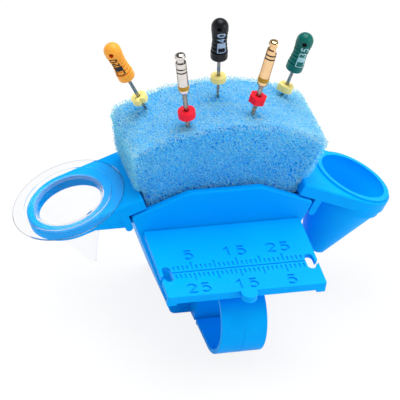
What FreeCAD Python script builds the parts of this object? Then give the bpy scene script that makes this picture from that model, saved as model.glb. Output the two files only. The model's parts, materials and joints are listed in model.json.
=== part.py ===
import FreeCAD, Part
import math
import os

import Sketcher
from FreeCAD import Placement, Rotation, Vector

# Finger-worn organizer for root canal files: a moulded foam well with a finger ring, a clip-on ruler
# plate, a foam block that holds five files, and two arms that slide onto the well's side walls.
# Every piece is drawn in the wall frame, whose origin is the middle of the line where the ruler's top
# meets the front wall, and then placed so that the finger ring's axis is the part's own X axis.

document = FreeCAD.newDocument("file_organizer")
sheet = document.addObject("Spreadsheet::Sheet", "Sizes")

SIZES = {
    # Place of the wall frame above and behind the finger ring's axis.
    "finger_setback": 13.2,
    "finger_drop": 13.9,
    # Moulded well: its outline is seen from the front.
    "well_depth": 19.2,
    "front_wall": 1.4,
    "side_wall": 2.2,
    "floor_wall": 1.6,
    "side_tilt": 22.5,
    "side_reach": 17.2,
    "shoulder_height": 11.0,
    "crest_height": 8.6,
    "base_drop": 23.0,
    "base_round": 1.5,
    "shoulder_round": 0.7,
    "edge_ease": 0.3,
    "corner_round": 0.35,
    # Rail groove in each side wall, and the rib of the arm that runs in it.
    "groove_depth": 0.9,
    "groove_width": 1.4,
    "groove_height": 9.0,
    "rib_play": 0.25,
    # Finger ring: a flexible band, open at its lower end, on a block in front of the wall.
    "finger_radius": 7.2,
    "band_wall": 1.0,
    "band_width": 10.0,
    "block_reach": 3.5,
    "block_rise": 0.6,
    "ring_gap": 1.3,
    "bead_radius": 0.6,
    # Shelf under the ruler and the ruler plate.
    "plate_slope": 7.2,
    "plate_length": 20.7,
    "plate_width": 34.6,
    "plate_wall": 1.1,
    "plate_play": 0.05,
    "shelf_width": 27.0,
    "shelf_wall": 1.2,
    "shelf_setback": 1.5,
    "lip_drop": 0.7,
    "lip_wall": 1.1,
    "foot_width": 2.0,
    "foot_drop": 1.3,
    "tab_radius": 1.75,
    "tab_reach": 0.75,
    "tab_wall": 1.5,
    "tab_rise": 0.3,
    # Measuring notches and graduations of the ruler.
    "notch_in": 14.7,
    "notch_width": 1.9,
    "notch_start": 11.5,
    "notch_end": 15.9,
    "slit_width": 0.8,
    "slit_slant": 37.0,
    "slit_line": 14.4,
    "tick_step": 1.0,
    "tick_count": 29,
    "tick_width": 0.3,
    "tick_depth": 0.25,
    "line_place": 13.4,
    "line_gap": 0.65,
    "short_tick": 1.2,
    "long_tick": 2.1,
    # Foam block.
    "foam_play": 0.3,
    "foam_neck": 13.2,
    "foam_shoulder": 25.2,
    "foam_crest": 24.4,
    # Arms: distances along and across each tilted side.
    "arm_width": 18.6,
    "arm_front": 0.5,
    "bar_inner": 13.6,
    "bar_gap": 0.4,
    "bar_wall": 2.8,
    "leg_gap": 0.5,
    "leg_wall": 1.6,
    "leg_drop": 3.85,
    "web_wall": 1.0,
    "web_inset": 0.3,
    # Clear gel cup in the left arm's ring.
    "gel_reach": 28.0,
    "gel_hole": 7.9,
    "gel_neck": 7.7,
    "gel_wall": 0.4,
    "gel_bead": 0.2,
    "gel_flange": 12.4,
    "gel_step": 9.7,
    "gel_depth": 18.5,
    "gel_tip": 0.8,
    # Reservoir cup of the right arm.
    "cup_reach": 29.0,
    "cup_mouth": 7.6,
    "cup_rim": 8.8,
    "rim_rise": 0.4,
    "cup_wall": 1.1,
    "cup_depth": 18.5,
    "cup_foot": 2.9,
    "collar_drop": 1.6,
    "collar_step": 0.35,
    # Hand files: moulded grip with stepped rings, a tie hole, a twisted blade and a silicone stop.
    "grip_length": 10.3,
    "grip_radius": 1.83,
    "grip_foot": 2.1,
    "foot_round": 0.55,
    "foot_flat": 1.15,
    "grip_waist": 1.52,
    "grip_rings": 4,
    "ring_drop": 0.13,
    "ring_edge": 0.12,
    "grip_barrel": 2.9,
    "dome_shoulder": 1.15,
    "dome_inset": 0.55,
    "dome_flat": 0.75,
    "hole_height": 8.1,
    "hole_radius": 0.42,
    "hand_shaft": 0.36,
    # Engine files: latch shank with a colour band in a groove of its own.
    "shank_length": 10.7,
    "shank_radius": 1.175,
    "shank_foot": 0.72,
    "shank_nose": 1.5,
    "latch_neck": 0.8,
    "latch_height": 1.05,
    "latch_flat": 0.6,
    "flat_length": 3.4,
    "head_round": 0.4,
    "band_height": 1.4,
    "band_core": 1.0,
    "colour_band": 1.32,
    "engine_shaft": 0.5,
    # Blades: working length, twisted stretch, and the seat of the shaft in its handle.
    "working_length": 21.0,
    "blade_length": 16.0,
    "shaft_seat": 2.0,
    "blade_pitch": 2.0,
    "blade_sides": 4,
    "facets_per_turn": 6,
    "tip_taper": 0.45,
    "hole_play": 0.12,
    # Silicone stops, which thread on the blades.
    "small_stop": 1.65,
    "small_height": 1.4,
    "large_stop": 1.85,
    "large_height": 1.8,
    "stop_play": 0.06,
    "notch_depth": 0.7,
    "notch_angle": 50.0,
    "notch_turn": -60.0,
    "nose_reach": 0.5,
}

# Each file: where it enters the foam, the tilts of its blade and grip, how much blade shows, the height
# of its stop and the way its tie hole faces.
FILES = {
    "orange": {"kind": "hand", "x": -15.03, "y": 14.7, "blade_tilt": -30.0, "grip_tilt": -28.8,
               "showing": 8.23, "stop_at": 2.33, "stop_form": "notched", "hole_angle": -22.0},
    "silver": {"kind": "engine", "x": -8.57, "y": 4.3, "blade_tilt": -11.0, "grip_tilt": -11.0,
               "showing": 7.4, "stop_at": 2.6, "stop_form": "round"},
    "black": {"kind": "hand", "x": 0.39, "y": 12.8, "blade_tilt": -4.2, "grip_tilt": -4.2,
              "showing": 8.6, "stop_at": 4.25, "stop_form": "round", "hole_angle": -20.0},
    "gold": {"kind": "engine", "x": 6.24, "y": 5.9, "blade_tilt": 9.3, "grip_tilt": 8.6,
             "showing": 6.62, "stop_at": 3.32, "stop_form": "hexagon"},
    "green": {"kind": "hand", "x": 16.0, "y": 15.5, "blade_tilt": 15.5, "grip_tilt": 15.4,
              "showing": 5.36, "stop_at": 1.66, "stop_form": "teardrop", "hole_angle": -20.0},
}

for row, (alias, number) in enumerate(SIZES.items(), start=1):
    sheet.set(f"A{row}", alias)
    sheet.set(f"B{row}", str(number))
    sheet.setAlias(f"B{row}", alias)
document.recompute()


def size(alias):
    """Value of one cell of the sheet, in millimetres or degrees."""
    return float(sheet.get(alias))


def worked_out(formula):
    """Value of a formula written over the sheet's cells."""
    return float(sheet.evalExpression(formula))


def cell(alias):
    """Name of a cell as an expression sees it."""
    return f"Sizes.{alias}"


# Points of a tilted side: reach along the shoulder and height square to it, as front view X and Z.
TILT_COS = "cos(Sizes.side_tilt)"
TILT_SIN = "sin(Sizes.side_tilt)"


def tilted(reach, height, side=1):
    """Front view X and Z formulas of a point given in one side's tilted directions."""
    across = f"{side}*(({reach})*{TILT_COS}+({height})*{TILT_SIN})"
    upward = f"(({height})*{TILT_COS}-({reach})*{TILT_SIN})"
    return across, upward


# Underside of the arms' bars, just above the well's shoulders, and the plane of their top faces.
BAR_HEIGHT = "(Sizes.shoulder_height+Sizes.bar_gap)"
BAR_TOP = f"({BAR_HEIGHT}+Sizes.bar_wall)"

WALL_PLACE = Placement(Vector(0, size("finger_setback"), size("finger_drop")), Rotation())


def side_place(side):
    """Placement of an arm's own frame: X along the shoulder, Z square to it."""
    turn = Rotation(Vector(0, 1, 0), side * size("side_tilt"))
    return WALL_PLACE.multiply(Placement(Vector(), turn))


def new_body(label, place=WALL_PLACE):
    """Empty body of one sub-part."""
    body = document.addObject("PartDesign::Body", label)
    body.Label = label
    body.Placement = place
    return body


def sketch_on(body, role, offset=(0, 0, 0), bindings=None):
    """Sketch on one of the body's own origin planes; bindings tie its offset to the sheet."""
    sketch = body.newObject("Sketcher::SketchObject", "Outline")
    plane = next(item for item in body.Origin.OriginFeatures if item.Role == role)
    sketch.AttachmentSupport = (plane, [""])
    sketch.MapMode = "FlatFace"
    sketch.AttachmentOffset = Placement(Vector(*offset), Rotation())
    for axis, formula in (bindings or {}).items():
        sketch.setExpression(f"AttachmentOffset.Base.{axis}", formula)
    return sketch


def arc_centre(start, end, radius, bulge_left):
    """Centre of the arc of a radius from start to end that bulges to the left or right of the run."""
    run = end - start
    half = run.Length / 2
    across = Vector(-run.y, run.x, 0).normalize()
    inset = math.sqrt(max(radius * radius - half * half, 0))
    middle = (start + end) * 0.5
    return middle - across * inset if bulge_left else middle + across * inset


def add_arc(sketch, start, end, radius, bulge_left):
    """Arc drawn counter-clockwise; returns its index and the ends that meet start and end."""
    centre = arc_centre(start, end, radius, bulge_left)
    first, last = (end, start) if bulge_left else (start, end)
    angles = [math.atan2(point.y - centre.y, point.x - centre.x) for point in (first, last)]
    if angles[1] < angles[0]:
        angles[1] += 2 * math.pi
    circle = Part.Circle(centre, Vector(0, 0, 1), radius)
    index = sketch.addGeometry(Part.ArcOfCircle(circle, angles[0], angles[1]))
    return (index, 2, 1) if bulge_left else (index, 1, 2)


def draw_outline(sketch, corners, arcs=None):
    """Closed outline through corners given as formula pairs.

    Arcs maps the number of a corner to the radius formula and side of the arc that starts there;
    every other stretch is straight. Each corner and each radius is bound to the sheet.
    """
    arcs = arcs or {}
    points = [Vector(worked_out(across), worked_out(upward), 0) for across, upward in corners]
    pieces = []
    for number, start in enumerate(points):
        end = points[(number + 1) % len(points)]
        if number in arcs:
            radius, side = arcs[number]
            pieces.append(add_arc(sketch, start, end, worked_out(radius), side == "left"))
        else:
            pieces.append((sketch.addGeometry(Part.LineSegment(start, end)), 1, 2))
    for number, (index, _, last) in enumerate(pieces):
        following, first, _ = pieces[(number + 1) % len(pieces)]
        sketch.addConstraint(Sketcher.Constraint("Coincident", index, last, following, first))
    for number, (across, upward) in enumerate(corners):
        index, first, _ = pieces[number]
        point = points[number]
        for kind, formula, value in (("DistanceX", across, point.x), ("DistanceY", upward, point.y)):
            place = sketch.addConstraint(Sketcher.Constraint(kind, -1, 1, index, first, value))
            sketch.setExpression(f"Constraints[{place}]", formula)
    for number, (radius, _) in arcs.items():
        place = sketch.addConstraint(Sketcher.Constraint("Radius", pieces[number][0], worked_out(radius)))
        sketch.setExpression(f"Constraints[{place}]", radius)


def draw_circle(sketch, across, upward, radius):
    """Circle whose centre and radius are bound to the sheet."""
    centre = Vector(worked_out(across), worked_out(upward), 0)
    index = sketch.addGeometry(Part.Circle(centre, Vector(0, 0, 1), worked_out(radius)))
    for kind, formula, value in (("DistanceX", across, centre.x), ("DistanceY", upward, centre.y)):
        place = sketch.addConstraint(Sketcher.Constraint(kind, -1, 1, index, 3, value))
        sketch.setExpression(f"Constraints[{place}]", formula)
    place = sketch.addConstraint(Sketcher.Constraint("Radius", index, worked_out(radius)))
    sketch.setExpression(f"Constraints[{place}]", radius)


def pad(body, sketch, length, reverse=False, both_ways=False):
    """Pad whose length is a formula over the sheet."""
    feature = body.newObject("PartDesign::Pad", "Pad")
    feature.Profile = sketch
    feature.setExpression("Length", length)
    feature.Reversed = reverse
    feature.Midplane = both_ways
    document.recompute()
    return feature


def pocket(body, sketch, length, reverse=False, both_ways=False):
    """Pocket whose depth is a formula over the sheet; it has to take material away."""
    before = body.Shape.Volume
    feature = body.newObject("PartDesign::Pocket", "Pocket")
    feature.Profile = sketch
    feature.setExpression("Length", length)
    feature.Reversed = reverse
    feature.Midplane = both_ways
    document.recompute()
    if body.Shape.Volume >= before:
        raise RuntimeError(f"a pocket of {body.Label} cuts nothing")
    return feature


def turn(body, sketch, kind="PartDesign::Revolution"):
    """Full turn of a profile about its sketch's upright axis."""
    feature = body.newObject(kind, "Turned")
    feature.Profile = sketch
    feature.ReferenceAxis = (sketch, ["V_Axis"])
    feature.Angle = 360
    document.recompute()
    return feature


def ease_edges(body, kind, amount, wanted):
    """Fillet or chamfer on the edges of the body's last shape that the wanted test picks."""
    tip = body.Tip
    names = [f"Edge{number}" for number, edge in enumerate(tip.Shape.Edges, start=1) if wanted(edge)]
    if not names:
        raise RuntimeError(f"no edge of {body.Label} to ease")
    feature = body.newObject(f"PartDesign::{kind}", "Eased")
    feature.Base = (tip, names)
    feature.setExpression("Radius" if kind == "Fillet" else "Size", amount)
    document.recompute()
    return feature


def runs_along(edge, axis):
    """True for a straight edge along an axis."""
    if not isinstance(edge.Curve, Part.Line):
        return False
    return abs(abs(edge.Curve.Direction.dot(axis)) - 1) < 1e-6


def spans(edge, axis):
    """Lowest and highest value of an edge along one of the axes x, y and z."""
    ends = [getattr(vertex.Point, axis) for vertex in edge.Vertexes]
    return min(ends), max(ends)


# The well: front outline, foam space, rail grooves, shelf, finger block and flexible band.

def shoulder_outline(reach, bottom, height):
    """Corners of the front outline: crest, shoulder ends and base, clockwise from the left base."""
    crest_x = f"(({height})-({cell('crest_height')})*{TILT_COS})/{TILT_SIN}"
    base_x = f"(({reach})-({bottom})*{TILT_SIN})/{TILT_COS}"
    left_end, end_z = tilted(reach, height, -1)
    right_end, _ = tilted(reach, height)
    return [
        (f"-({base_x})", f"-({bottom})"),
        (left_end, end_z),
        (f"-({crest_x})", cell("crest_height")),
        (crest_x, cell("crest_height")),
        (right_end, end_z),
        (base_x, f"-({bottom})"),
    ]


def build_well(body):
    """Walls and floor of the well, with a groove along the outside of each side wall."""
    outline = sketch_on(body, "XZ_Plane")
    draw_outline(outline, shoulder_outline(cell("side_reach"), cell("base_drop"), cell("shoulder_height")))
    pad(body, outline, cell("well_depth"), reverse=True)
    along = Vector(0, 1, 0)
    base = -size("base_drop")
    near = 0.1
    ease_edges(body, "Fillet", cell("base_round"),
               lambda edge: runs_along(edge, along) and spans(edge, "z")[1] < base + near)
    shoulder = abs(worked_out(tilted(cell("side_reach"), cell("shoulder_height"))[0]))
    ease_edges(body, "Fillet", cell("shoulder_round"),
               lambda edge: runs_along(edge, along) and abs(abs(spans(edge, "x")[0]) - shoulder) < near)
    ease_edges(body, "Chamfer", cell("edge_ease"),
               lambda edge: spans(edge, "y")[1] < near and spans(edge, "z")[1] > base + size("base_round"))

    space = sketch_on(body, "XZ_Plane", (0, 0, -size("front_wall")), {"z": "-Sizes.front_wall"})
    reach = "Sizes.side_reach-Sizes.side_wall"
    floor = "(Sizes.base_drop-Sizes.floor_wall)"
    over = "(Sizes.shoulder_height+Sizes.crest_height)"
    top_left, top_z = tilted(reach, over, -1)
    top_right, _ = tilted(reach, over)
    floor_x = f"(({reach})-{floor}*{TILT_SIN})/{TILT_COS}"
    draw_outline(space, [(f"-({floor_x})", f"-{floor}"), (top_left, top_z), (top_right, top_z),
                         (floor_x, f"-{floor}")])
    pocket(body, space, "Sizes.well_depth-2*Sizes.front_wall")

    grooves = sketch_on(body, "XZ_Plane", (0, 0, -size("front_wall")), {"z": "-Sizes.front_wall"})
    deep = "(Sizes.side_reach-Sizes.groove_depth)"
    proud = "(Sizes.side_reach+Sizes.groove_depth)"
    low = "(Sizes.groove_height-Sizes.groove_width/2)"
    high = "(Sizes.groove_height+Sizes.groove_width/2)"
    for side in (-1, 1):
        draw_outline(grooves, [tilted(deep, low, side), tilted(proud, low, side),
                               tilted(proud, high, side), tilted(deep, high, side)])
    pocket(body, grooves, cell("well_depth"))


def build_shelf(body):
    """Sloping shelf that carries the ruler plate, rooted in the front wall."""
    profile = sketch_on(body, "YZ_Plane")
    root = "(Sizes.front_wall/2)"
    tan_slope = "tan(Sizes.plate_slope)"
    top = "(-Sizes.plate_wall/cos(Sizes.plate_slope))"
    end = "(Sizes.plate_length*cos(Sizes.plate_slope)-Sizes.shelf_setback)"
    low = "(-(Sizes.plate_wall+Sizes.shelf_wall)/cos(Sizes.plate_slope))"
    draw_outline(profile, [
        (root, f"{top}+{root}*{tan_slope}"),
        (f"-{end}", f"{top}-{end}*{tan_slope}"),
        (f"-{end}", f"{low}-{end}*{tan_slope}"),
        (root, f"{low}+{root}*{tan_slope}"),
    ])
    pad(body, profile, cell("shelf_width"), both_ways=True)


def build_finger_ring(body):
    """Block in front of the wall and the open band that hugs the finger."""
    ring_y, ring_z = "(-Sizes.finger_setback)", "(-Sizes.finger_drop)"
    inner, outer = cell("finger_radius"), "(Sizes.finger_radius+Sizes.band_wall)"
    block = sketch_on(body, "YZ_Plane")
    root = "(Sizes.front_wall/2)"
    face = "(-Sizes.block_reach)"
    block_top = f"({ring_z}+{outer})"
    block_low = "(Sizes.block_rise-Sizes.base_drop)"
    draw_outline(block, [(face, block_low), (face, block_top), (root, block_top), (root, block_low)])
    pad(body, block, cell("band_width"), both_ways=True)

    stem = sketch_on(body, "YZ_Plane")
    stem_top = "(-Sizes.plate_wall-Sizes.shelf_wall/2)"
    draw_outline(stem, [(face, block_top), (face, stem_top), (root, stem_top), (root, block_top)])
    pad(body, stem, cell("band_width"), both_ways=True)

    band = sketch_on(body, "YZ_Plane")
    inside = f"({face}+Sizes.band_wall/2)"
    free = f"({face}-Sizes.ring_gap)"
    draw_outline(band, [
        (inside, f"{ring_z}+{inner}"),
        (ring_y, f"{ring_z}+{inner}"),
        (f"{ring_y}-{inner}", ring_z),
        (ring_y, f"{ring_z}-{inner}"),
        (free, f"{ring_z}-{inner}"),
        (free, f"{ring_z}-{outer}"),
        (ring_y, f"{ring_z}-{outer}"),
        (f"{ring_y}-{outer}", ring_z),
        (ring_y, f"{ring_z}+{outer}"),
        (inside, f"{ring_z}+{outer}"),
    ], {1: (inner, "right"), 2: (inner, "right"), 6: (outer, "left"), 7: (outer, "left")})
    pad(body, band, cell("band_width"), both_ways=True)

    bead = sketch_on(body, "YZ_Plane")
    draw_circle(bead, f"{free}-Sizes.bead_radius/2", f"{ring_z}-{outer}+Sizes.bead_radius/2",
                cell("bead_radius"))
    pad(body, bead, cell("band_width"), both_ways=True)


def make_holder():
    """One moulding: well, shelf, finger block and band."""
    body = new_body("holder_body")
    build_well(body)
    build_shelf(body)
    build_finger_ring(body)
    return body


# The ruler plate, drawn flat: Y runs back to the wall, Z out of its top face.

def draw_notch(sketch, side):
    """Rounded measuring hole near one end, and the slanted slit that opens it to the side edge."""
    near, far = f"{side}*Sizes.notch_in", f"{side}*(Sizes.notch_in+Sizes.notch_width)"
    radius = "(Sizes.notch_width/2)"
    back, front = f"-(Sizes.notch_start+{radius})", f"-(Sizes.notch_end-{radius})"
    left, right = (near, far) if side > 0 else (far, near)
    draw_outline(sketch, [(left, front), (left, back), (right, back), (right, front)],
                 {1: (radius, "left"), 3: (radius, "left")})


def draw_slit(sketch, side):
    """Slanted slit between the measuring hole and the side edge; the two ends match by half a turn."""
    start = f"(Sizes.notch_in+{cell('notch_width')}/2)"
    end = "(Sizes.plate_width/2+Sizes.slit_width)"
    rise = f"{side}*tan(Sizes.slit_slant)"
    half = "(Sizes.slit_width/2/cos(Sizes.slit_slant))"
    middle = f"(Sizes.notch_in+{cell('notch_width')})"
    corners = []
    for place, shift in ((start, -1), (end, -1), (end, 1), (start, 1)):
        corners.append((f"{side}*{place}", f"-Sizes.slit_line+{rise}*({place}-{middle})+{shift}*{half}"))
    draw_outline(sketch, corners)


def draw_ticks(sketch, place, far_reach, near_reach=None):
    """One graduation on each side of the middle line: narrow rectangles across the ruler."""
    half = "(Sizes.tick_width/2)"
    near_reach = near_reach or "0"
    for outward in (-1, 1):
        ends = [f"(-Sizes.line_place-({outward})*(Sizes.line_gap+{reach}))"
                for reach in (near_reach, far_reach)]
        low, high = ends if outward < 0 else ends[::-1]
        draw_outline(sketch, [(f"{place}-{half}", low), (f"{place}-{half}", high),
                              (f"{place}+{half}", high), (f"{place}+{half}", low)])


def repeat_along(body, feature, sketch, length, count):
    """Row of copies of a cut along its sketch's level axis."""
    row = body.newObject("PartDesign::LinearPattern", "Row")
    row.Originals = [feature]
    row.Direction = (sketch, ["H_Axis"])
    row.setExpression("Length", length)
    row.setExpression("Occurrences", count)
    body.Tip = row
    document.recompute()


def cut_graduations(body):
    """Middle line and both rows of ticks; each fifth tick from the middle is long."""
    line = sketch_on(body, "XY_Plane")
    ends = "(Sizes.tick_step*(Sizes.tick_count+1)/2)"
    half = "(Sizes.tick_width/2)"
    low, high = f"-Sizes.line_place-{half}", f"-Sizes.line_place+{half}"
    draw_outline(line, [(f"-{ends}", low), (f"-{ends}", high), (ends, high), (ends, low)])
    pocket(body, line, cell("tick_depth"))
    short = sketch_on(body, "XY_Plane")
    run = "Sizes.tick_step*(Sizes.tick_count-1)"
    draw_ticks(short, f"(-{run}/2)", cell("short_tick"))
    repeat_along(body, pocket(body, short, cell("tick_depth")), short, run, cell("tick_count"))
    long = sketch_on(body, "XY_Plane")
    fifths = "floor((Sizes.tick_count-1)/10)"
    run = f"5*Sizes.tick_step*{fifths}"
    draw_ticks(long, f"(-{run})", cell("long_tick"), "Sizes.short_tick")
    repeat_along(body, pocket(body, long, cell("tick_depth")), long, f"2*{run}", f"2*{fifths}+1")


def make_ruler():
    """Clip-on plate with lip, corner feet, thumb tab, measuring notches and graduations."""
    slope = Placement(Vector(), Rotation(Vector(1, 0, 0), size("plate_slope")))
    body = new_body("ruler_plate", WALL_PLACE.multiply(slope))
    half, length = "(Sizes.plate_width/2)", cell("plate_length")
    back = "(-Sizes.plate_wall*tan(Sizes.plate_slope)-Sizes.plate_play)"
    blank = sketch_on(body, "XY_Plane")
    draw_outline(blank, [(f"-{half}", f"-{length}"), (f"-{half}", back), (half, back), (half, f"-{length}")])
    pad(body, blank, cell("plate_wall"), reverse=True)
    lip = sketch_on(body, "XY_Plane")
    draw_outline(lip, [(f"-{half}", f"-{length}"), (f"-{half}", f"-{length}+Sizes.lip_wall"),
                       (half, f"-{length}+Sizes.lip_wall"), (half, f"-{length}")])
    pad(body, lip, "Sizes.plate_wall+Sizes.lip_drop", reverse=True)
    feet = sketch_on(body, "XY_Plane")
    for side in (-1, 1):
        inner, outer = f"{side}*({half}-Sizes.foot_width)", f"{side}*{half}"
        left, right = (inner, outer) if side > 0 else (outer, inner)
        draw_outline(feet, [(left, f"-{length}"), (left, f"-{length}+Sizes.lip_wall"),
                            (right, f"-{length}+Sizes.lip_wall"), (right, f"-{length}")])
    pad(body, feet, "Sizes.plate_wall+Sizes.foot_drop", reverse=True)
    upright = Vector(0, 0, 1)
    near = 0.1
    ease_edges(body, "Fillet", cell("corner_round"), lambda edge: runs_along(edge, upright)
               and spans(edge, "y")[1] < near - size("plate_length")
               and abs(abs(spans(edge, "x")[0]) - size("plate_width") / 2) < near)
    tab = sketch_on(body, "XY_Plane", (0, 0, size("tab_rise")), {"z": cell("tab_rise")})
    draw_circle(tab, "0", f"-{length}-Sizes.tab_reach", cell("tab_radius"))
    pad(body, tab, cell("tab_wall"), reverse=True)
    openings = sketch_on(body, "XY_Plane")
    for side in (-1, 1):
        draw_notch(openings, side)
    pocket(body, openings, "2*Sizes.plate_wall", both_ways=True)
    slits = sketch_on(body, "XY_Plane")
    for side in (-1, 1):
        draw_slit(slits, side)
    pocket(body, slits, "2*Sizes.plate_wall+2*Sizes.lip_drop", both_ways=True)
    cut_graduations(body)
    return body


# Arms, each drawn in its own tilted frame: side -1 is the gel cup's, side 1 the reservoir's.

def arm_plate(body, side, reach):
    """Flat bar that ends in a round, concentric with the cup it carries."""
    front = cell("arm_front")
    back = "(Sizes.arm_front+Sizes.arm_width)"
    middle, radius = "(Sizes.arm_front+Sizes.arm_width/2)", "(Sizes.arm_width/2)"
    plate = sketch_on(body, "XY_Plane", (0, 0, worked_out(BAR_HEIGHT)), {"z": BAR_HEIGHT})
    places = (cell("bar_inner"), cell(reach), f"({cell(reach)}+{radius})")
    inner, centre, tip = (f"{side}*{place}" for place in places)
    bulge = "right" if side > 0 else "left"
    draw_outline(plate, [(inner, back), (inner, front), (centre, front), (tip, middle), (centre, back)],
                 {2: (radius, bulge), 3: (radius, bulge)})
    pad(body, plate, cell("bar_wall"))
    top, near = worked_out(BAR_TOP), 0.1
    ease_edges(body, "Chamfer", cell("edge_ease"), lambda edge: spans(edge, "z")[0] > top - near)


def arm_clip(body, side):
    """Leg outside the well's side wall, and the rib that runs in the wall's groove."""
    inner = "(Sizes.side_reach+Sizes.leg_gap)"
    outer = f"({inner}+Sizes.leg_wall)"
    middle = f"({inner}+Sizes.leg_wall/2)"
    root = f"({BAR_HEIGHT}+Sizes.bar_wall/2)"
    radius = "(Sizes.leg_wall/2)"
    low = f"({BAR_HEIGHT}-Sizes.leg_drop)"
    leg = sketch_on(body, "XZ_Plane", (0, 0, -size("arm_front")), {"z": "-Sizes.arm_front"})
    bulge = "right" if side > 0 else "left"
    draw_outline(leg, [(f"{side}*{inner}", root), (f"{side}*{inner}", f"{low}+{radius}"),
                       (f"{side}*{middle}", low), (f"{side}*{outer}", f"{low}+{radius}"),
                       (f"{side}*{outer}", root)],
                 {1: (radius, bulge), 2: (radius, bulge)})
    pad(body, leg, cell("arm_width"), reverse=True)
    start = "(Sizes.front_wall+Sizes.rib_play)"
    rib = sketch_on(body, "XZ_Plane", (0, 0, -worked_out(start)), {"z": f"-{start}"})
    tip = "(Sizes.side_reach-Sizes.groove_depth+Sizes.rib_play)"
    half = "(Sizes.groove_width/2-Sizes.rib_play)"
    low, high = f"Sizes.groove_height-{half}", f"Sizes.groove_height+{half}"
    draw_outline(rib, [(f"{side}*{middle}", low), (f"{side}*{tip}", low),
                       (f"{side}*{tip}", high), (f"{side}*{middle}", high)])
    pad(body, rib, f"Sizes.arm_front+Sizes.arm_width-{start}", reverse=True)


def arm_webs(body, side):
    """Thin level-bottomed webs between the leg and the ring, at the front and back edges."""
    inner = "(Sizes.side_reach+Sizes.leg_gap+Sizes.leg_wall/2)"
    root = f"({BAR_HEIGHT}+Sizes.bar_wall/2)"
    foot = f"({BAR_HEIGHT}-Sizes.leg_drop+Sizes.leg_wall/2)"
    end = f"({inner}+({root}-{foot})/tan(Sizes.side_tilt))"
    front = "(Sizes.arm_front+Sizes.web_inset)"
    rear = "(Sizes.arm_front+Sizes.arm_width-Sizes.web_inset-Sizes.web_wall)"
    for place in (front, rear):
        web = sketch_on(body, "XZ_Plane", (0, 0, -worked_out(place)), {"z": f"-{place}"})
        draw_outline(web, [(f"{side}*{inner}", root), (f"{side}*{inner}", foot), (f"{side}*{end}", root)])
        pad(body, web, cell("web_wall"), reverse=True)


def make_gel_arm():
    """Left arm: a ring that the clear cup drops into."""
    body = new_body("gel_cup_arm", side_place(-1))
    arm_plate(body, -1, "gel_reach")
    arm_clip(body, -1)
    arm_webs(body, -1)
    hole = sketch_on(body, "XY_Plane", (0, 0, worked_out(BAR_HEIGHT)), {"z": BAR_HEIGHT})
    draw_circle(hole, "-Sizes.gel_reach", "Sizes.arm_front+Sizes.arm_width/2", cell("gel_hole"))
    pocket(body, hole, "2*Sizes.bar_wall", both_ways=True)
    return body


def cup_sketch(body, side, reach):
    """Sketch whose upright axis is a cup's own axis."""
    middle = "(Sizes.arm_front+Sizes.arm_width/2)"
    offset = (side * size(reach), 0, -worked_out(middle))
    return sketch_on(body, "XZ_Plane", offset, {"x": f"{side}*{cell(reach)}", "z": f"-{middle}"})


def make_reservoir_arm():
    """Right arm: a tapered cup moulded under the plate, open at the plate's top."""
    body = new_body("reservoir_arm", side_place(1))
    arm_plate(body, 1, "cup_reach")
    arm_clip(body, 1)
    foot = f"({BAR_TOP}-Sizes.cup_depth)"
    lip = f"({BAR_TOP}+Sizes.rim_rise)"
    collar = f"({BAR_HEIGHT}-Sizes.collar_drop)"
    outside = cup_sketch(body, 1, "cup_reach")
    draw_outline(outside, [("0", foot), (cell("cup_foot"), foot), ("Sizes.cup_rim-Sizes.collar_step", collar),
                           (cell("cup_rim"), collar), (cell("cup_rim"), lip), ("0", lip)])
    turn(body, outside)
    inside = cup_sketch(body, 1, "cup_reach")
    floor = f"({foot}+Sizes.cup_wall)"
    draw_outline(inside, [("0", floor), ("Sizes.cup_foot-Sizes.cup_wall", floor),
                          (cell("cup_mouth"), f"{BAR_TOP}-Sizes.rim_rise"),
                          (cell("cup_mouth"), f"{lip}+Sizes.rim_rise"), ("0", f"{lip}+Sizes.rim_rise")])
    turn(body, inside, "PartDesign::Groove")
    return body


def make_gel_cup():
    """Clear thin cup with a wide flange that rests on the left arm's ring."""
    body = new_body("gel_cup", side_place(-1))
    seat = BAR_TOP
    wall = cell("gel_wall")
    tip = f"({seat}-Sizes.gel_depth)"
    profile = cup_sketch(body, -1, "gel_reach")
    draw_outline(profile, [
        ("0", tip),
        (cell("gel_tip"), tip),
        (cell("gel_neck"), seat),
        (cell("gel_flange"), seat),
        (cell("gel_flange"), f"{seat}+{wall}"),
        (cell("gel_step"), f"{seat}+{wall}"),
        (cell("gel_step"), f"{seat}+{wall}+Sizes.gel_bead"),
        (f"Sizes.gel_neck-{wall}", f"{seat}+{wall}+Sizes.gel_bead"),
        (f"Sizes.gel_tip-{wall}/2", f"{tip}+{wall}"),
        ("0", f"{tip}+{wall}"),
    ])
    turn(body, profile)
    return body


# Files: places, then pieces drawn upright along their own axes.

ARC_SHOULDER = tilted("(Sizes.side_reach-Sizes.side_wall-Sizes.foam_play)", cell("foam_shoulder"))
FOAM_RADIUS = (f"((({ARC_SHOULDER[0]})*({ARC_SHOULDER[0]})"
               f"+(Sizes.foam_crest-({ARC_SHOULDER[1]}))*(Sizes.foam_crest-({ARC_SHOULDER[1]})))"
               f"/(2*(Sizes.foam_crest-({ARC_SHOULDER[1]}))))")


def tilted_axis(angle):
    """Unit direction that tilts from upright, sideways in X."""
    return Vector(math.sin(math.radians(angle)), 0, math.cos(math.radians(angle)))


def upright_to(base, direction):
    """Placement that puts an upright piece's foot at base and turns its axis to a direction."""
    return WALL_PLACE.multiply(Placement(base, Rotation(Vector(0, 0, 1), direction)))


def entry_point(file):
    """Where a file enters the foam's arched top."""
    radius = worked_out(FOAM_RADIUS)
    drop = radius - math.sqrt(radius * radius - file["x"] * file["x"])
    return Vector(file["x"], file["y"], size("foam_crest") - drop)


def blade_end():
    """Length of a file's blade and shaft, with the seat in its handle."""
    return size("working_length") + size("shaft_seat")


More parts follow.
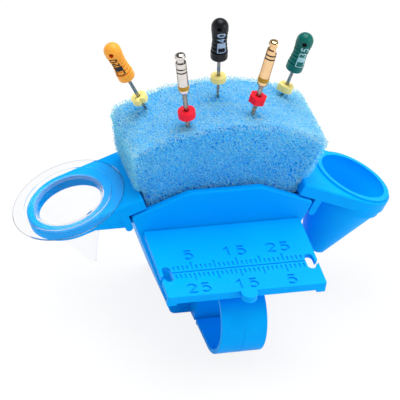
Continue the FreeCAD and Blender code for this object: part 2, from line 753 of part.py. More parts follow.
def shaft_radius(file):
    """Radius of the plain stretch of the file's shaft."""
    return size("hand_shaft") if file["kind"] == "hand" else size("engine_shaft")


def make_foam():
    """Arched block that fills the well, is held down under both arm bars, and has five file holes."""
    body = new_body("foam_block")
    play = cell("foam_play")
    reach = f"(Sizes.side_reach-Sizes.side_wall-{play})"
    floor = f"(Sizes.base_drop-Sizes.floor_wall-{play})"
    under, over = f"(Sizes.shoulder_height-{play})", f"({BAR_TOP}+{play})"
    floor_x = f"(({reach})-{floor}*{TILT_SIN})/{TILT_COS}"
    side_points = [(reach, under), (cell("foam_neck"), under), (cell("foam_neck"), over), (reach, over),
                   (reach, cell("foam_shoulder"))]
    corners = [(f"-({floor_x})", f"-{floor}")]
    corners += [tilted(along, height, -1) for along, height in side_points]
    corners += [("0", cell("foam_crest"))]
    corners += [tilted(along, height) for along, height in reversed(side_points)]
    corners += [(floor_x, f"-{floor}")]
    front = f"(Sizes.front_wall+{play})"
    outline = sketch_on(body, "XZ_Plane", (0, 0, -worked_out(front)), {"z": f"-{front}"})
    draw_outline(outline, corners, {5: (FOAM_RADIUS, "left"), 6: (FOAM_RADIUS, "left")})
    pad(body, outline, f"Sizes.well_depth-2*{front}", reverse=True)
    holes = []
    for name, file in FILES.items():
        hole = document.addObject("Part::Cylinder", f"{name}_hole")
        hole.Radius = shaft_radius(file) + size("hole_play")
        hole.Height = blade_end() + size("hole_play")
        direction = tilted_axis(file["blade_tilt"])
        foot = entry_point(file) - direction * (size("working_length") - file["showing"] + size("hole_play"))
        hole.Placement = upright_to(foot, direction)
        holes.append(hole)
    foam = document.addObject("Part::Cut", "foam_insert")
    tool = document.addObject("Part::MultiFuse", "file_holes")
    tool.Shapes = holes
    foam.Base, foam.Tool = body, tool
    foam.Label = "foam_insert"
    return foam


def solid_part(label, shape, place):
    """Part whose shape is worked out in code, put at its place."""
    part = document.addObject("Part::Feature", label)
    part.Label = label
    part.Shape = shape
    part.Placement = place
    return part


def turned(points):
    """Solid of revolution about Z from radius and height pairs."""
    edges = []
    for start, end in zip(points, points[1:] + points[:1]):
        edges.append(Part.makeLine(Vector(start[0], 0, start[1]), Vector(end[0], 0, end[1])))
    return Part.Face(Part.Wire(edges)).revolve(Vector(), Vector(0, 0, 1), 360)


def grip_profile():
    """Hand grip from its foot up: rounded foot, rings that step in to a waist and out again, domed head."""
    full, waist, length = size("grip_radius"), size("grip_waist"), size("grip_length")
    foot, barrel = size("grip_foot"), length - size("grip_barrel")
    rings = int(size("grip_rings"))
    pitch = (barrel - foot) / rings
    points = [(0, 0), (size("foot_flat"), 0), (full, size("foot_round")), (full, foot)]
    for number in range(rings):
        bow = abs(2 * (number + 0.5) / rings - 1)
        ring = waist + (full - size("ring_drop") - waist) * bow
        low = foot + number * pitch
        points += [(ring, low + size("ring_edge")), (ring, low + pitch)]
    points += [(full, barrel + size("ring_edge")), (full, length - full + size("dome_inset")),
               (size("dome_shoulder"), length - size("dome_inset") / 2), (size("dome_flat"), length),
               (0, length)]
    return points


def twisted_blade(top_radius, tip_radius, length):
    """Square blade that tapers and twists, in flat facets with a few steps a turn, with its tip at Z = 0."""
    sides, per_turn = int(size("blade_sides")), int(size("facets_per_turn"))
    steps = max(round(length / size("blade_pitch") * per_turn), 1)
    rings = []
    for number in range(steps + 1):
        share = number / steps
        radius = tip_radius + (top_radius - tip_radius) * share
        angles = [2 * math.pi * (number / per_turn + corner / sides) for corner in range(sides)]
        rings.append([Vector(radius * math.cos(angle), radius * math.sin(angle), length * share)
                      for angle in angles])
    outlines = [rings[0], rings[-1]]
    for low, high in zip(rings, rings[1:]):
        for corner in range(sides):
            after = (corner + 1) % sides
            outlines += [[low[corner], low[after], high[corner]], [low[after], high[after], high[corner]]]
    shell = Part.Shell([Part.Face(Part.makePolygon(outline + outline[:1])) for outline in outlines])
    shell.sewShape()
    return Part.Solid(shell)


def file_blade(name, file, foot, direction):
    """Twisted blade below and a plain shaft above that seats in the handle."""
    radius = shaft_radius(file)
    twisted = min(size("blade_length"), size("working_length"))
    blade = twisted_blade(radius, radius * size("tip_taper"), twisted)
    shaft = Part.makeCylinder(radius, blade_end() - twisted, Vector(0, 0, twisted))
    return solid_part(f"{name}_blade", blade.fuse(shaft), upright_to(foot, direction))


def shaft_seat(file, foot, direction, place):
    """The stretch of shaft that a handle holds, in the handle's own frame."""
    seat = Part.makeCylinder(shaft_radius(file), blade_end())
    seat.Placement = place.inverse().multiply(upright_to(foot, direction))
    return seat


def regular_outline(radius, corners):
    """Polygon with its corners on a circle and one corner towards the viewer's left."""
    angles = [2 * math.pi * (corner + 0.5) / corners for corner in range(corners)]
    points = [Vector(radius * math.cos(angle), radius * math.sin(angle), 0) for angle in angles]
    return Part.Face(Part.makePolygon(points + points[:1]))


def stop_outline(form, radius):
    """Seen along the blade: a disc, a disc with a notch, a teardrop or a hexagon."""
    disc = Part.Face(Part.Wire(Part.makeCircle(radius, Vector(), Vector(0, 0, 1))))
    if form == "notched":
        bottom, outside = radius - size("notch_depth"), 2 * radius
        spread = (outside - bottom) * math.tan(math.radians(size("notch_angle") / 2))
        corners = [Vector(bottom, 0, 0), Vector(outside, spread, 0), Vector(outside, -spread, 0)]
        notch = Part.Face(Part.makePolygon(corners + corners[:1]))
        notch.rotate(Vector(), Vector(0, 0, 1), size("notch_turn"))
        return disc.cut(notch)
    if form == "teardrop":
        reach = radius + size("nose_reach")
        spread = math.acos(radius / reach)
        upper, lower = (Vector(-radius * math.cos(angle), radius * math.sin(angle), 0)
                        for angle in (spread, -spread))
        back = Part.Arc(upper, Vector(radius, 0, 0), lower).toShape()
        nose = Part.makePolygon([lower, Vector(-reach, 0, 0), upper])
        return Part.Face(Part.Wire([back] + nose.Edges))
    if form == "hexagon":
        return regular_outline(radius, 6)
    return disc


def file_stop(name, file, entry, direction):
    """Silicone length stop, threaded on the blade with a slight gap."""
    radius, height = size("small_stop"), size("small_height")
    if file["kind"] == "engine":
        radius, height = size("large_stop"), size("large_height")
    plate = stop_outline(file["stop_form"], radius).extrude(Vector(0, 0, height))
    bore = Part.makeCylinder(shaft_radius(file) + size("stop_play"), height)
    foot = entry + direction * (file["stop_at"] - height / 2)
    return solid_part(f"{name}_stop", plate.cut(bore), upright_to(foot, direction))


def hand_file(name, file):
    """Hand file: moulded grip with a tie hole, blade and stop."""
    entry, direction = entry_point(file), tilted_axis(file["blade_tilt"])
    foot = entry - direction * (size("working_length") - file["showing"])
    place = upright_to(entry + direction * file["showing"], tilted_axis(file["grip_tilt"]))
    grip = turned(grip_profile()).cut(shaft_seat(file, foot, direction, place))
    across = Vector(math.sin(math.radians(file["hole_angle"])), -math.cos(math.radians(file["hole_angle"])), 0)
    middle = Vector(0, 0, size("hole_height"))
    reach = 2 * size("grip_radius")
    hole = Part.makeCylinder(size("hole_radius"), 2 * reach, middle - across * reach, across)
    return [solid_part(f"{name}_handle", grip.cut(hole), place), file_blade(name, file, foot, direction),
            file_stop(name, file, entry, direction)]


def shank_profile():
    """Latch shank from its foot up: nose, groove for the colour band, barrel, latch neck and rounded head."""
    radius, length, nose = size("shank_radius"), size("shank_length"), size("shank_nose")
    latch, rounding = size("latch_height"), size("head_round")
    band_top = nose + size("band_height")
    core, neck = size("band_core"), size("latch_neck")
    return [(0, 0), (size("shank_foot"), 0), (radius, nose), (core, nose), (core, band_top), (radius, band_top),
            (radius, length - 2 * latch), (neck, length - 2 * latch), (neck, length - latch),
            (radius, length - latch), (radius, length - rounding), (radius - rounding, length), (0, length)]


def engine_file(name, file):
    """Engine file: latch shank, colour band, blade and stop."""
    entry, direction = entry_point(file), tilted_axis(file["blade_tilt"])
    foot = entry - direction * (size("working_length") - file["showing"])
    place = upright_to(entry + direction * file["showing"], tilted_axis(file["grip_tilt"]))
    radius, length = size("shank_radius"), size("shank_length")
    flat = Part.makeBox(2 * radius, radius, size("flat_length"),
                        Vector(-radius, size("latch_flat"), length - size("flat_length")))
    shank = turned(shank_profile()).cut(flat).cut(shaft_seat(file, foot, direction, place))
    ring = Part.makeCylinder(size("colour_band"), size("band_height"), Vector(0, 0, size("shank_nose")))
    core = Part.makeCylinder(size("band_core"), size("band_height"), Vector(0, 0, size("shank_nose")))
    band = ring.cut(core)
    return [solid_part(f"{name}_shank", shank, place), solid_part(f"{name}_band", band, place),
            file_blade(name, file, foot, direction), file_stop(name, file, entry, direction)]


def make_files():
    """All five files that stand in the foam."""
    parts = []
    for name, file in FILES.items():
        parts += hand_file(name, file) if file["kind"] == "hand" else engine_file(name, file)
    return parts


def check_and_export(parts):
    """Stop on any failed object or bad shape, then write one STEP file for each sub-part."""
    document.recompute()
    for item in document.Objects:
        if {"Invalid", "Error"} & set(item.State):
            raise RuntimeError(f"{item.Name} failed: {item.State}")
    for part in parts:
        if part.Shape.isNull() or not part.Shape.isValid() or len(part.Shape.Solids) != 1:
            raise RuntimeError(f"{part.Label} is not one valid solid: {len(part.Shape.Solids)} solids")
    os.makedirs("parts", exist_ok=True)
    for part in parts:
        part.Shape.exportStep(f"parts/{part.Label}.step")
        box = part.Shape.BoundBox
        print(f"{part.Label:16} {part.Shape.Volume:9.1f} mm3  x {box.XMin:6.1f} {box.XMax:6.1f}"
              f"  y {box.YMin:6.1f} {box.YMax:6.1f}  z {box.ZMin:6.1f} {box.ZMax:6.1f}")


MOULDINGS = [make_holder(), make_ruler(), make_gel_arm(), make_gel_cup(), make_reservoir_arm()]
check_and_export(MOULDINGS + [make_foam()] + make_files())
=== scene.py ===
"""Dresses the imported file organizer: blue mouldings, open-cell foam, five root canal files and a clear cup.

Shapes are worked out in millimetres, in the wall frame of the part: its origin is the middle of the line
where the ruler's top meets the front wall. Meshes are handed over in metres, in the row's frame.
"""

import json
import logging
import math
from dataclasses import dataclass, field
from enum import Enum

import bmesh
import bpy
import numpy as np
from bpy.types import ID, Material, Mesh, Node, NodeSocket, NodeTree, Object
from mathutils import Matrix, Vector

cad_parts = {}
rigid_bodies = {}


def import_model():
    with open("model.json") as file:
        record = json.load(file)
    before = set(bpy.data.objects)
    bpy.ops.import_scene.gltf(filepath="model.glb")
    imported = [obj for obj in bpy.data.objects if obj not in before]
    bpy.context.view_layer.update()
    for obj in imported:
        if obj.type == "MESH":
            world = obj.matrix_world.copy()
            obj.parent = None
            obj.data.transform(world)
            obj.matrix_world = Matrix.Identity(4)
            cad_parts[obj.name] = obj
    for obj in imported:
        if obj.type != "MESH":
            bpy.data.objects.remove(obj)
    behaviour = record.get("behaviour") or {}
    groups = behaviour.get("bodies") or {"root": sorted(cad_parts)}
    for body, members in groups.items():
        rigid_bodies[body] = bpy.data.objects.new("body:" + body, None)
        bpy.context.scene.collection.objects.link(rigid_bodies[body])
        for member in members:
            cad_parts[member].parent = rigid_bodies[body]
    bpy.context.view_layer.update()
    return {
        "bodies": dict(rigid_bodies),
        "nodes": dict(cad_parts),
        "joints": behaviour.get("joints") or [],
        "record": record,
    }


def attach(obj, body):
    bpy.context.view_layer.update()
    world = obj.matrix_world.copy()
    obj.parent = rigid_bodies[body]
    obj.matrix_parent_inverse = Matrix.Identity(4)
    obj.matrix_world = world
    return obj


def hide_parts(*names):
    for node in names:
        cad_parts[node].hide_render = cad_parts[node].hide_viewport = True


LOG = logging.getLogger("file_organizer")
MILLIMETRE = 0.001
WALL_ORIGIN = np.array([0.0, 13.2, 13.9])
TILT = math.radians(22.5)
FINISH_NAME = "finish_"
WHITE = (1.0, 1.0, 1.0, 1.0)
MOULDED_SHARP = math.radians(12)
Color = tuple[float, float, float]


# Meshes and surfaces.

def row_place(points: np.ndarray) -> np.ndarray:
    """Moves points, shape (n, 3), from the wall frame in millimetres to the row frame in metres."""
    return (points + WALL_ORIGIN) * MILLIMETRE


def around(count: int) -> np.ndarray:
    """Angles of a full turn in even steps, without its end."""
    return np.linspace(0.0, 2 * np.pi, count, endpoint=False)


def unit(vectors: np.ndarray) -> np.ndarray:
    """Rows scaled to length 1: each over the root of its sum of squares."""
    return vectors / np.linalg.norm(vectors, axis=1, keepdims=True)


def turned(points: np.ndarray, first: int, second: int, angle: float) -> np.ndarray:
    """Points turned in one plane: a' = a cos t - b sin t and b' = a sin t + b cos t.

    Args:
        points: Array whose last axis holds the coordinates.
        first: Number of coordinate a.
        second: Number of coordinate b.
        angle: Angle t in radians.

    Returns:
        New array of the same shape.
    """
    result = points.copy()
    result[..., first] = points[..., first] * math.cos(angle) - points[..., second] * math.sin(angle)
    result[..., second] = points[..., first] * math.sin(angle) + points[..., second] * math.cos(angle)
    return result


def linked(name: str, data: ID) -> Object:
    """Puts data into a new object of the scene.

    Args:
        name: Name of the object.
        data: Mesh, camera or light.

    Returns:
        The object.
    """
    made = bpy.data.objects.new(name, data)
    bpy.context.scene.collection.objects.link(made)
    return made


def mesh_piece(name: str, points: np.ndarray, faces: np.ndarray, materials: list[Material],
               face_slots: np.ndarray | None = None, sharp: float | None = 35.0) -> Object:
    """Puts arrays of points and faces into a new object, welds its poles and shades it.

    Args:
        name: Name of the piece.
        points: Array of shape (n, 3), millimetres in the wall frame.
        faces: Array of shape (m, 3) or (m, 4) of point numbers.
        materials: Materials in slot order.
        face_slots: Slot number of each face, or None when all are the first.
        sharp: Angle in degrees past which an edge stays sharp, or None for flat faces.

    Returns:
        The new object, linked to the scene.
    """
    mesh = bpy.data.meshes.new(name)
    count, corners = faces.shape
    mesh.vertices.add(len(points))
    mesh.vertices.foreach_set("co", row_place(points).astype(np.float32).ravel())
    mesh.loops.add(count * corners)
    mesh.loops.foreach_set("vertex_index", faces.astype(np.int32).ravel())
    mesh.polygons.add(count)
    mesh.polygons.foreach_set("loop_start", np.arange(0, count * corners, corners, dtype=np.int32))
    for material in materials:
        mesh.materials.append(material)
    if face_slots is not None:
        mesh.polygons.foreach_set("material_index", face_slots.astype(np.int32))
    mesh.update(calc_edges=True)
    piece = linked(name, mesh)
    if sharp is not None:
        weld(mesh)
        mesh.shade_smooth()
        mesh.set_sharp_from_angle(angle=math.radians(sharp))
    return piece


def weld(mesh: Mesh) -> None:
    """Merges points that lie on each other and turns the faces outwards.

    Args:
        mesh: Closed mesh to weld.
    """
    work = bmesh.new()
    work.from_mesh(mesh)
    bmesh.ops.remove_doubles(work, verts=work.verts, dist=1e-7)
    bmesh.ops.dissolve_degenerate(work, edges=work.edges, dist=1e-8)
    bmesh.ops.recalc_face_normals(work, faces=work.faces)
    work.to_mesh(mesh)
    work.free()


def grid_faces(rows: int, columns: int, close_rows: bool = False) -> np.ndarray:
    """Quads of a grid whose columns run round and meet again.

    Args:
        rows: Number of rows of points.
        columns: Number of points in each row.
        close_rows: Whether the last row meets the first, as on a ring.

    Returns:
        Array of shape (m, 4) of point numbers.
    """
    row = np.arange(rows if close_rows else rows - 1)[:, None]
    column = np.arange(columns)[None, :]
    after, along = (row + 1) % rows, (column + 1) % columns
    corners = (row * columns + column, row * columns + along, after * columns + along, after * columns + column)
    return np.stack(np.broadcast_arrays(*corners), axis=-1).reshape(-1, 4)


def bar_faces(rows: int, closed: bool = False) -> np.ndarray:
    """Quads of a bar with four long edges.

    Args:
        rows: Number of its cross sections, four points each.
        closed: Whether the last section lies on the first, so that the bar has no ends.

    Returns:
        Array of shape (m, 4) of point numbers.
    """
    last = 4 * rows - 4
    ends = np.array([[3, 2, 1, 0], [last, last + 1, last + 2, last + 3]])
    return grid_faces(rows, 4) if closed else np.concatenate([grid_faces(rows, 4), ends])


def revolve(profile: np.ndarray, turns: int) -> np.ndarray:
    """Surface of revolution: x = r cos t, y = r sin t, z = z, over the profile and a full turn.

    Args:
        profile: Array of shape (n, 2) of radius and height.
        turns: Number of points round the axis.

    Returns:
        Array of shape (n * turns, 3).
    """
    angle = around(turns)
    radius, height = profile[:, :1], profile[:, 1:]
    surface = np.stack([radius * np.cos(angle), radius * np.sin(angle), height + 0 * angle], axis=-1)
    return surface.reshape(-1, 3)


def resample(points: np.ndarray, step: float, soften: float = 0.0) -> np.ndarray:
    """Even points along a polyline, with its corners eased by a moving average.

    Args:
        points: Array of shape (n, 2).
        step: Distance between the new points.
        soften: Length over which the corners are averaged.

    Returns:
        Array of shape (m, 2) from the first point to the last.
    """
    runs = np.r_[0.0, np.cumsum(np.hypot(*np.diff(points, axis=0).T))]
    count = max(int(runs[-1] / step), 2)
    along = np.linspace(0.0, runs[-1], count + 1)
    line = np.stack([np.interp(along, runs, points[:, 0]), np.interp(along, runs, points[:, 1])], axis=1)
    width = int(soften / step) // 2 * 2 + 1
    if width > 1:
        padded = np.pad(line, ((width // 2, width // 2), (0, 0)), mode="reflect", reflect_type="odd")
        weights = np.hanning(width + 2)[1:-1]
        weights /= weights.sum()
        line = np.stack([np.convolve(padded[:, axis], weights, "valid") for axis in (0, 1)], axis=1)
    return line


def smooth_step(low: float, high: float, value: np.ndarray) -> np.ndarray:
    """Ease from 0 at low to 1 at high: 3 t squared less 2 t cubed."""
    share = np.clip((value - low) / (high - low), 0.0, 1.0)
    return share * share * (3 - 2 * share)


@dataclass(frozen=True)
class Upright:
    """Place of a piece that is drawn upright and then leans sideways."""

    foot: tuple[float, float, float]
    lean: float

    def place(self, points: np.ndarray) -> np.ndarray:
        """Turns points drawn along Z about Y by the lean and moves them to the foot."""
        return np.array(self.foot) + turned(points, 2, 0, math.radians(self.lean))

    def up(self, distance: float, lean: float | None = None) -> "Upright":
        """Another place further along this one's axis, with its own lean if one is given."""
        foot = tuple(self.place(np.array([[0.0, 0.0, distance]]))[0])
        return Upright(foot, self.lean if lean is None else lean)


# Finishes.

class Nodes:
    """Short way to build the nodes of a tree."""

    def __init__(self, tree: NodeTree) -> None:
        """Works on the given tree."""
        self.tree = tree

    def node(self, kind: str, inputs: dict[str | int, object] | None = None,
             **settings: object) -> Node:
        """Adds a node, sets its options, and links or sets its inputs.

        Args:
            kind: Node type without its ShaderNode prefix.
            inputs: Values or sockets by input name or number.
            settings: Attributes of the node.

        Returns:
            The new node.
        """
        node = self.tree.nodes.new("ShaderNode" + kind)
        for key, value in settings.items():
            setattr(node, key, value)
        for key, value in (inputs or {}).items():
            self.feed(node.inputs[key], value)
        return node

    def feed(self, socket: NodeSocket, value: object) -> None:
        """Links a socket to an input, or sets the input's own value."""
        if isinstance(value, NodeSocket):
            self.tree.links.new(value, socket)
        else:
            socket.default_value = value

    def math(self, operation: str, first: NodeSocket,
             second: NodeSocket | float) -> NodeSocket:
        """Result of a sum, product, comparison or the like of two numbers."""
        return self.node("Math", {0: first, 1: second}, operation=operation).outputs[0]

    def span(self, value: NodeSocket, low: float, high: float, start: float = 0.0,
             end: float = 1.0) -> NodeSocket:
        """Maps a value from start..end to low..high, held at both ends."""
        inputs = {"Value": value, "From Min": start, "From Max": end, "To Min": low, "To Max": high}
        return self.node("MapRange", inputs).outputs["Result"]

    def direct(self, *kinds: str) -> NodeSocket:
        """Share that is 1 for rays of some kinds that haven't yet left a matt surface, and else 0.

        Args:
            kinds: Light Path outputs, such as Is Camera Ray.

        Returns:
            The largest of the outputs, times 1 while the diffuse depth is 0.
        """
        path = self.node("LightPath").outputs
        share = path[kinds[0]]
        for kind in kinds[1:]:
            share = self.math("MAXIMUM", share, path[kind])
        return self.math("MULTIPLY", share, self.math("LESS_THAN", path["Diffuse Depth"], 0.5))

    def mix(self, share: NodeSocket, first: NodeSocket, second: NodeSocket) -> NodeSocket:
        """Shader between two shaders by a share from 0 to 1."""
        return self.node("MixShader", {0: share, 1: first, 2: second}).outputs[0]


class Shading(Nodes):
    """Nodes of a new material with a Principled shader on its output."""

    def __init__(self, name: str) -> None:
        """Starts the material.

        Args:
            name: Its name, without the mark that all finishes carry.
        """
        self.material = bpy.data.materials.new(FINISH_NAME + name)
        self.material.use_nodes = True
        super().__init__(self.material.node_tree)
        self.shader = self.tree.nodes["Principled BSDF"]
        self.place = self.node("TexCoord").outputs["Object"]

    def set(self, **inputs: object) -> None:
        """Feeds the Principled shader's inputs; an underscore stands for a space."""
        for key, value in inputs.items():
            self.feed(self.shader.inputs[key.replace("_", " ")], value)

    def cover(self, share: NodeSocket, shader: NodeSocket) -> None:
        """Lets another shader take the Principled one's place by a share from 0 to 1."""
        mixed = self.mix(share, self.shader.outputs["BSDF"], shader)
        self.feed(self.tree.nodes["Material Output"].inputs["Surface"], mixed)

    def mottle(self, size: float, low: float, high: float, start: float = 0.3, end: float = 0.7,
               detail: float = 3.0) -> NodeSocket:
        """Noise of the given size in millimetres, mapped from start..end to low..high."""
        return self.span(self.noise(size, detail), low, high, start, end)

    def noise(self, size: float, detail: float = 3.0) -> NodeSocket:
        """Noise whose lumps measure about the given millimetres."""
        node = self.node("TexNoise", {"Vector": self.place, "Scale": 1 / (size * MILLIMETRE), "Detail": detail})
        return node.outputs["Fac"]

    def blend(self, share: NodeSocket, first: Color,
              second: Color | NodeSocket) -> NodeSocket:
        """Colour between two colours.

        Args:
            share: 0 for the first and 1 for the second.
            first: Colour.
            second: Colour, or a socket that gives one.

        Returns:
            Socket of the mixed colour.
        """
        node = self.node("Mix", {"Factor": share}, data_type="RGBA")
        node.inputs[6].default_value = (*first, 1.0)
        self.feed(node.inputs[7], second if isinstance(second, NodeSocket) else (*second, 1.0))
        return node.outputs[2]

    def bump(self, height: NodeSocket, depth: float, strength: float = 1.0) -> None:
        """Bump from a height whose full range is the given millimetres."""
        node = self.node("Bump", {"Height": height, "Distance": depth * MILLIMETRE, "Strength": strength})
        self.set(Normal=node.outputs["Normal"])


@dataclass(frozen=True)
class Look:
    """A finish: its name, and how its material is made."""

    name: str

    def paint(self, nodes: Shading) -> None:
        """Sets the nodes of the material."""
        raise NotImplementedError(self.name)

    def make(self) -> Material:
        """Builds the material.

        Returns:
            The material with its nodes set.
        """
        nodes = Shading(self.name)
        self.paint(nodes)
        return nodes.material


@dataclass(frozen=True)
class SatinMoulding(Look):
    """Satin moulded plastic with a faint grain and a slow change of tone."""

    light: Color
    deep: Color
    roughness: float = 0.38
    gloss: float = 0.25
    grain: float = 0.16
    grain_depth: float = 0.006

    def paint(self, nodes: Shading) -> None:
        """Sets the nodes of the material.

        Args:
            nodes: The material's nodes.
        """
        nodes.set(Base_Color=nodes.blend(nodes.mottle(9.0, 0.0, 1.0, detail=2.0), self.deep, self.light))
        nodes.set(Roughness=nodes.mottle(1.4, self.roughness - 0.05, self.roughness + 0.07))
        nodes.set(Specular_IOR_Level=self.gloss)
        nodes.bump(nodes.noise(self.grain, 2.0), self.grain_depth)


@dataclass(frozen=True)
class FoamStrand(Look):
    """Glossy strand of open-cell foam that light soaks through, paler in places."""

    light: Color
    deep: Color
    roughness: float = 0.22
    soak: float = 0.9

    def paint(self, nodes: Shading) -> None:
        """Sets the nodes of the material.

        Args:
            nodes: The material's nodes.
        """
        nodes.set(Base_Color=nodes.blend(nodes.mottle(0.5, 0.0, 1.0, 0.35, 0.65), self.deep, self.light))
        nodes.set(Roughness=self.roughness, Specular_IOR_Level=0.5, Subsurface_Weight=self.soak)
        nodes.set(Subsurface_Radius=(0.5, 0.9, 1.0), Subsurface_Scale=0.5 * MILLIMETRE)


@dataclass(frozen=True)
class FoamHeart(Look):
    """Depth of the foam behind its outer cells: blue walls, with pores painted darker as painted shade and
    paler where they face upwards as painted light.
    """

    wall: Color
    # The pore colour is painted shade in the cells; the upward pore colour is painted light from above.
    pore_shade: Color
    pore_top_light: Color
    cell: float = 1.0

    def paint(self, nodes: Shading) -> None:
        """Sets the nodes of the material.

        Args:
            nodes: The material's nodes.
        """
        cells = nodes.node("TexVoronoi", {"Vector": nodes.place, "Scale": 1 / (self.cell * MILLIMETRE)},
                           feature="DISTANCE_TO_EDGE")
        # Pores are painted darker than the walls, as painted shade, and paler where they face up, as painted
        # light.
        pores = nodes.span(cells.outputs["Distance"], 0.0, 1.0, 0.03, 0.32)
        facing = nodes.node("SeparateXYZ", {0: nodes.node("NewGeometry").outputs["Normal"]}).outputs["Z"]
        pore_shade = nodes.blend(nodes.span(facing, 0.0, 1.0, 0.3, 0.75), self.pore_shade, self.pore_top_light)
        nodes.set(Base_Color=nodes.blend(pores, self.wall, pore_shade), Roughness=0.8, Specular_IOR_Level=0.1)
        nodes.bump(nodes.span(pores, 1.0, 0.0), 0.35)


@dataclass(frozen=True)
class PolishedMetal(Look):
    """Turned and polished metal with a fine grain."""

    colour: Color
    shade: Color
    roughness: float = 0.16
    edge: Color = (0.12, 0.11, 0.10)

    def paint(self, nodes: Shading) -> None:
        """Sets the nodes of the material.

        Args:
            nodes: The material's nodes.
        """
        nodes.set(Base_Color=nodes.blend(nodes.mottle(1.1, 0.0, 1.0), self.shade, self.colour))
        nodes.set(Metallic=1.0, Specular_Tint=(*self.edge, 1.0))
        nodes.set(Roughness=nodes.mottle(0.35, self.roughness - 0.05, self.roughness + 0.08))
        nodes.bump(nodes.noise(0.06, 1.0), 0.001)


@dataclass(frozen=True)
class ClearPlastic(Look):
    """Clear glossy plastic; a grey colour or a milky share on some faces paints shade along a rim or a
    highlight where a lip catches light.
    """

    colour: Color
    clear: float = 1.0

    def paint(self, nodes: Shading) -> None:
        """Sets the nodes of the material.

        Args:
            nodes: The material's nodes.
        """
        nodes.set(Base_Color=(*self.colour, 1.0), Transmission_Weight=self.clear, IOR=1.2)
        nodes.set(Roughness=nodes.mottle(4.0, 0.0, 0.03))
        through = nodes.node("BsdfTransparent", {"Color": (*self.colour, 1.0)})
        nodes.cover(nodes.node("LightPath").outputs["Is Shadow Ray"], through.outputs[0])


@dataclass(frozen=True)
class Ink(Look):
    """Printed ink with slightly uneven cover."""

    colour: Color
    thin: Color

    def paint(self, nodes: Shading) -> None:
        """Sets the nodes of the material."""
        nodes.set(Base_Color=nodes.blend(nodes.mottle(0.3, 0.0, 1.0, 0.4, 0.75), self.colour, self.thin))
        nodes.set(Roughness=0.5, Specular_IOR_Level=0.3)


class Finish(Enum):
    """Every finish on the organizer, by the material slot or detail that it stands for."""

    BLUE_MOULDING = SatinMoulding("blue_moulding", (0.0, 0.405, 1.0), (0.0, 0.375, 1.0), 0.36, 0.03)
    # Paler copy of the strand finish for the top strands: painted light where the light falls from above.
    FOAM_CROWN = FoamStrand("foam_top_painted_light", (0.26, 0.68, 1.0), (0.09, 0.51, 1.0))
    FOAM_STRAND = FoamStrand("foam_strand", (0.16, 0.65, 1.0), (0.005, 0.36, 1.0))
    # Wall colour, then the pores' painted shade and the upward pores' painted light.
    FOAM_HEART = FoamHeart("foam_heart", (0.02, 0.41, 1.0), (0.0, 0.22, 0.90), (0.035, 0.35, 1.0))
    CLEAR_CUP = ClearPlastic("clear_cup", (0.972, 0.974, 0.982))
    # Grey tint on the flange's edge and step: painted shade for the dark lines along a clear edge.
    CLEAR_RIM = ClearPlastic("clear_rim_painted_shade", (0.60, 0.66, 0.74))
    # Milky share on the cup's upper inner wall: painted highlight where the lip catches light.
    CLEAR_LIP = ClearPlastic("clear_lip_painted_highlight", (0.94, 0.955, 0.98), 0.85)
    ORANGE_GRIP = SatinMoulding("orange_grip", (1.0, 0.44, 0.05), (0.99, 0.40, 0.035), 0.3, 0.3, 0.9, 0.0015)
    BLACK_GRIP = SatinMoulding("black_grip", (0.010, 0.012, 0.017), (0.007, 0.008, 0.012), 0.3, 0.25, 0.9,
                               0.0015)
    GREEN_GRIP = SatinMoulding("green_grip", (0.0, 0.16, 0.135), (0.0, 0.13, 0.11), 0.3, 0.25, 0.9, 0.0015)
    YELLOW_STOP = SatinMoulding("yellow_stop", (1.0, 0.88, 0.32), (0.97, 0.83, 0.28), 0.5, 0.2, 0.3, 0.003)
    RED_STOP = SatinMoulding("red_stop", (0.94, 0.010, 0.035), (0.88, 0.006, 0.028), 0.45, 0.2, 0.3, 0.003)
    AMBER_BAND = SatinMoulding("amber_band", (0.50, 0.28, 0.010), (0.42, 0.22, 0.008), 0.35, 0.3, 0.3, 0.003)
    SILVER = PolishedMetal("silver_metal", (0.80, 0.76, 0.72), (0.72, 0.68, 0.64), 0.14)
    GOLD = PolishedMetal("gold_metal", (0.95, 0.66, 0.38), (0.88, 0.58, 0.31), 0.14)
    STEEL = PolishedMetal("steel_blade", (0.44, 0.41, 0.38), (0.27, 0.25, 0.23), 0.24)
    RING_MARK = Ink("ring_mark", (0.012, 0.010, 0.010), (0.03, 0.02, 0.02))
    BLACK_INK = Ink("black_ink", (0.012, 0.012, 0.014), (0.03, 0.025, 0.02))
    GREY_INK = Ink("grey_ink", (0.36, 0.50, 0.70), (0.26, 0.38, 0.56))
    PALE_INK = Ink("pale_ink", (0.38, 0.66, 0.70), (0.22, 0.50, 0.52))
    # Colours of the tie holes' walls, dark orange and near black: painted shade inside the holes.
    ORANGE_BORE = Ink("orange_bore_shade", (0.95, 0.17, 0.015), (0.85, 0.12, 0.01))
    DARK_BORE = Ink("dark_bore_shade", (0.008, 0.010, 0.010), (0.012, 0.016, 0.016))

    def material(self) -> Material:
        """The finish's material, built once."""
        made = bpy.data.materials.get(FINISH_NAME + self.value.name)
        return made or self.value.make()


def dressed(piece: Object, body: str, slot: str, *nodes: str) -> Object:
    """Joins a finished piece to the frame and reports it.

    Args:
        piece: The piece, in place.
        body: CAD body that it rides on.
        slot: Material slot of the record; not used.
        nodes: CAD nodes that it stands for.

    Returns:
        The piece.
    """
    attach(piece, body)
    if nodes:
        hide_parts(*nodes)
    LOG.info("%s: %d faces, rides on %s", piece.name, len(piece.data.polygons), body)
    return piece


# Cuts and lettering.

def settled_mesh(piece: Object) -> None:
    """Puts what the modifiers make into the piece's own mesh and clears them.

    Args:
        piece: The piece, whose mesh is replaced.
    """
    bpy.context.view_layer.update()
    made = bpy.data.meshes.new_from_object(piece.evaluated_get(bpy.context.evaluated_depsgraph_get()))
    piece.modifiers.clear()
    piece.data = made


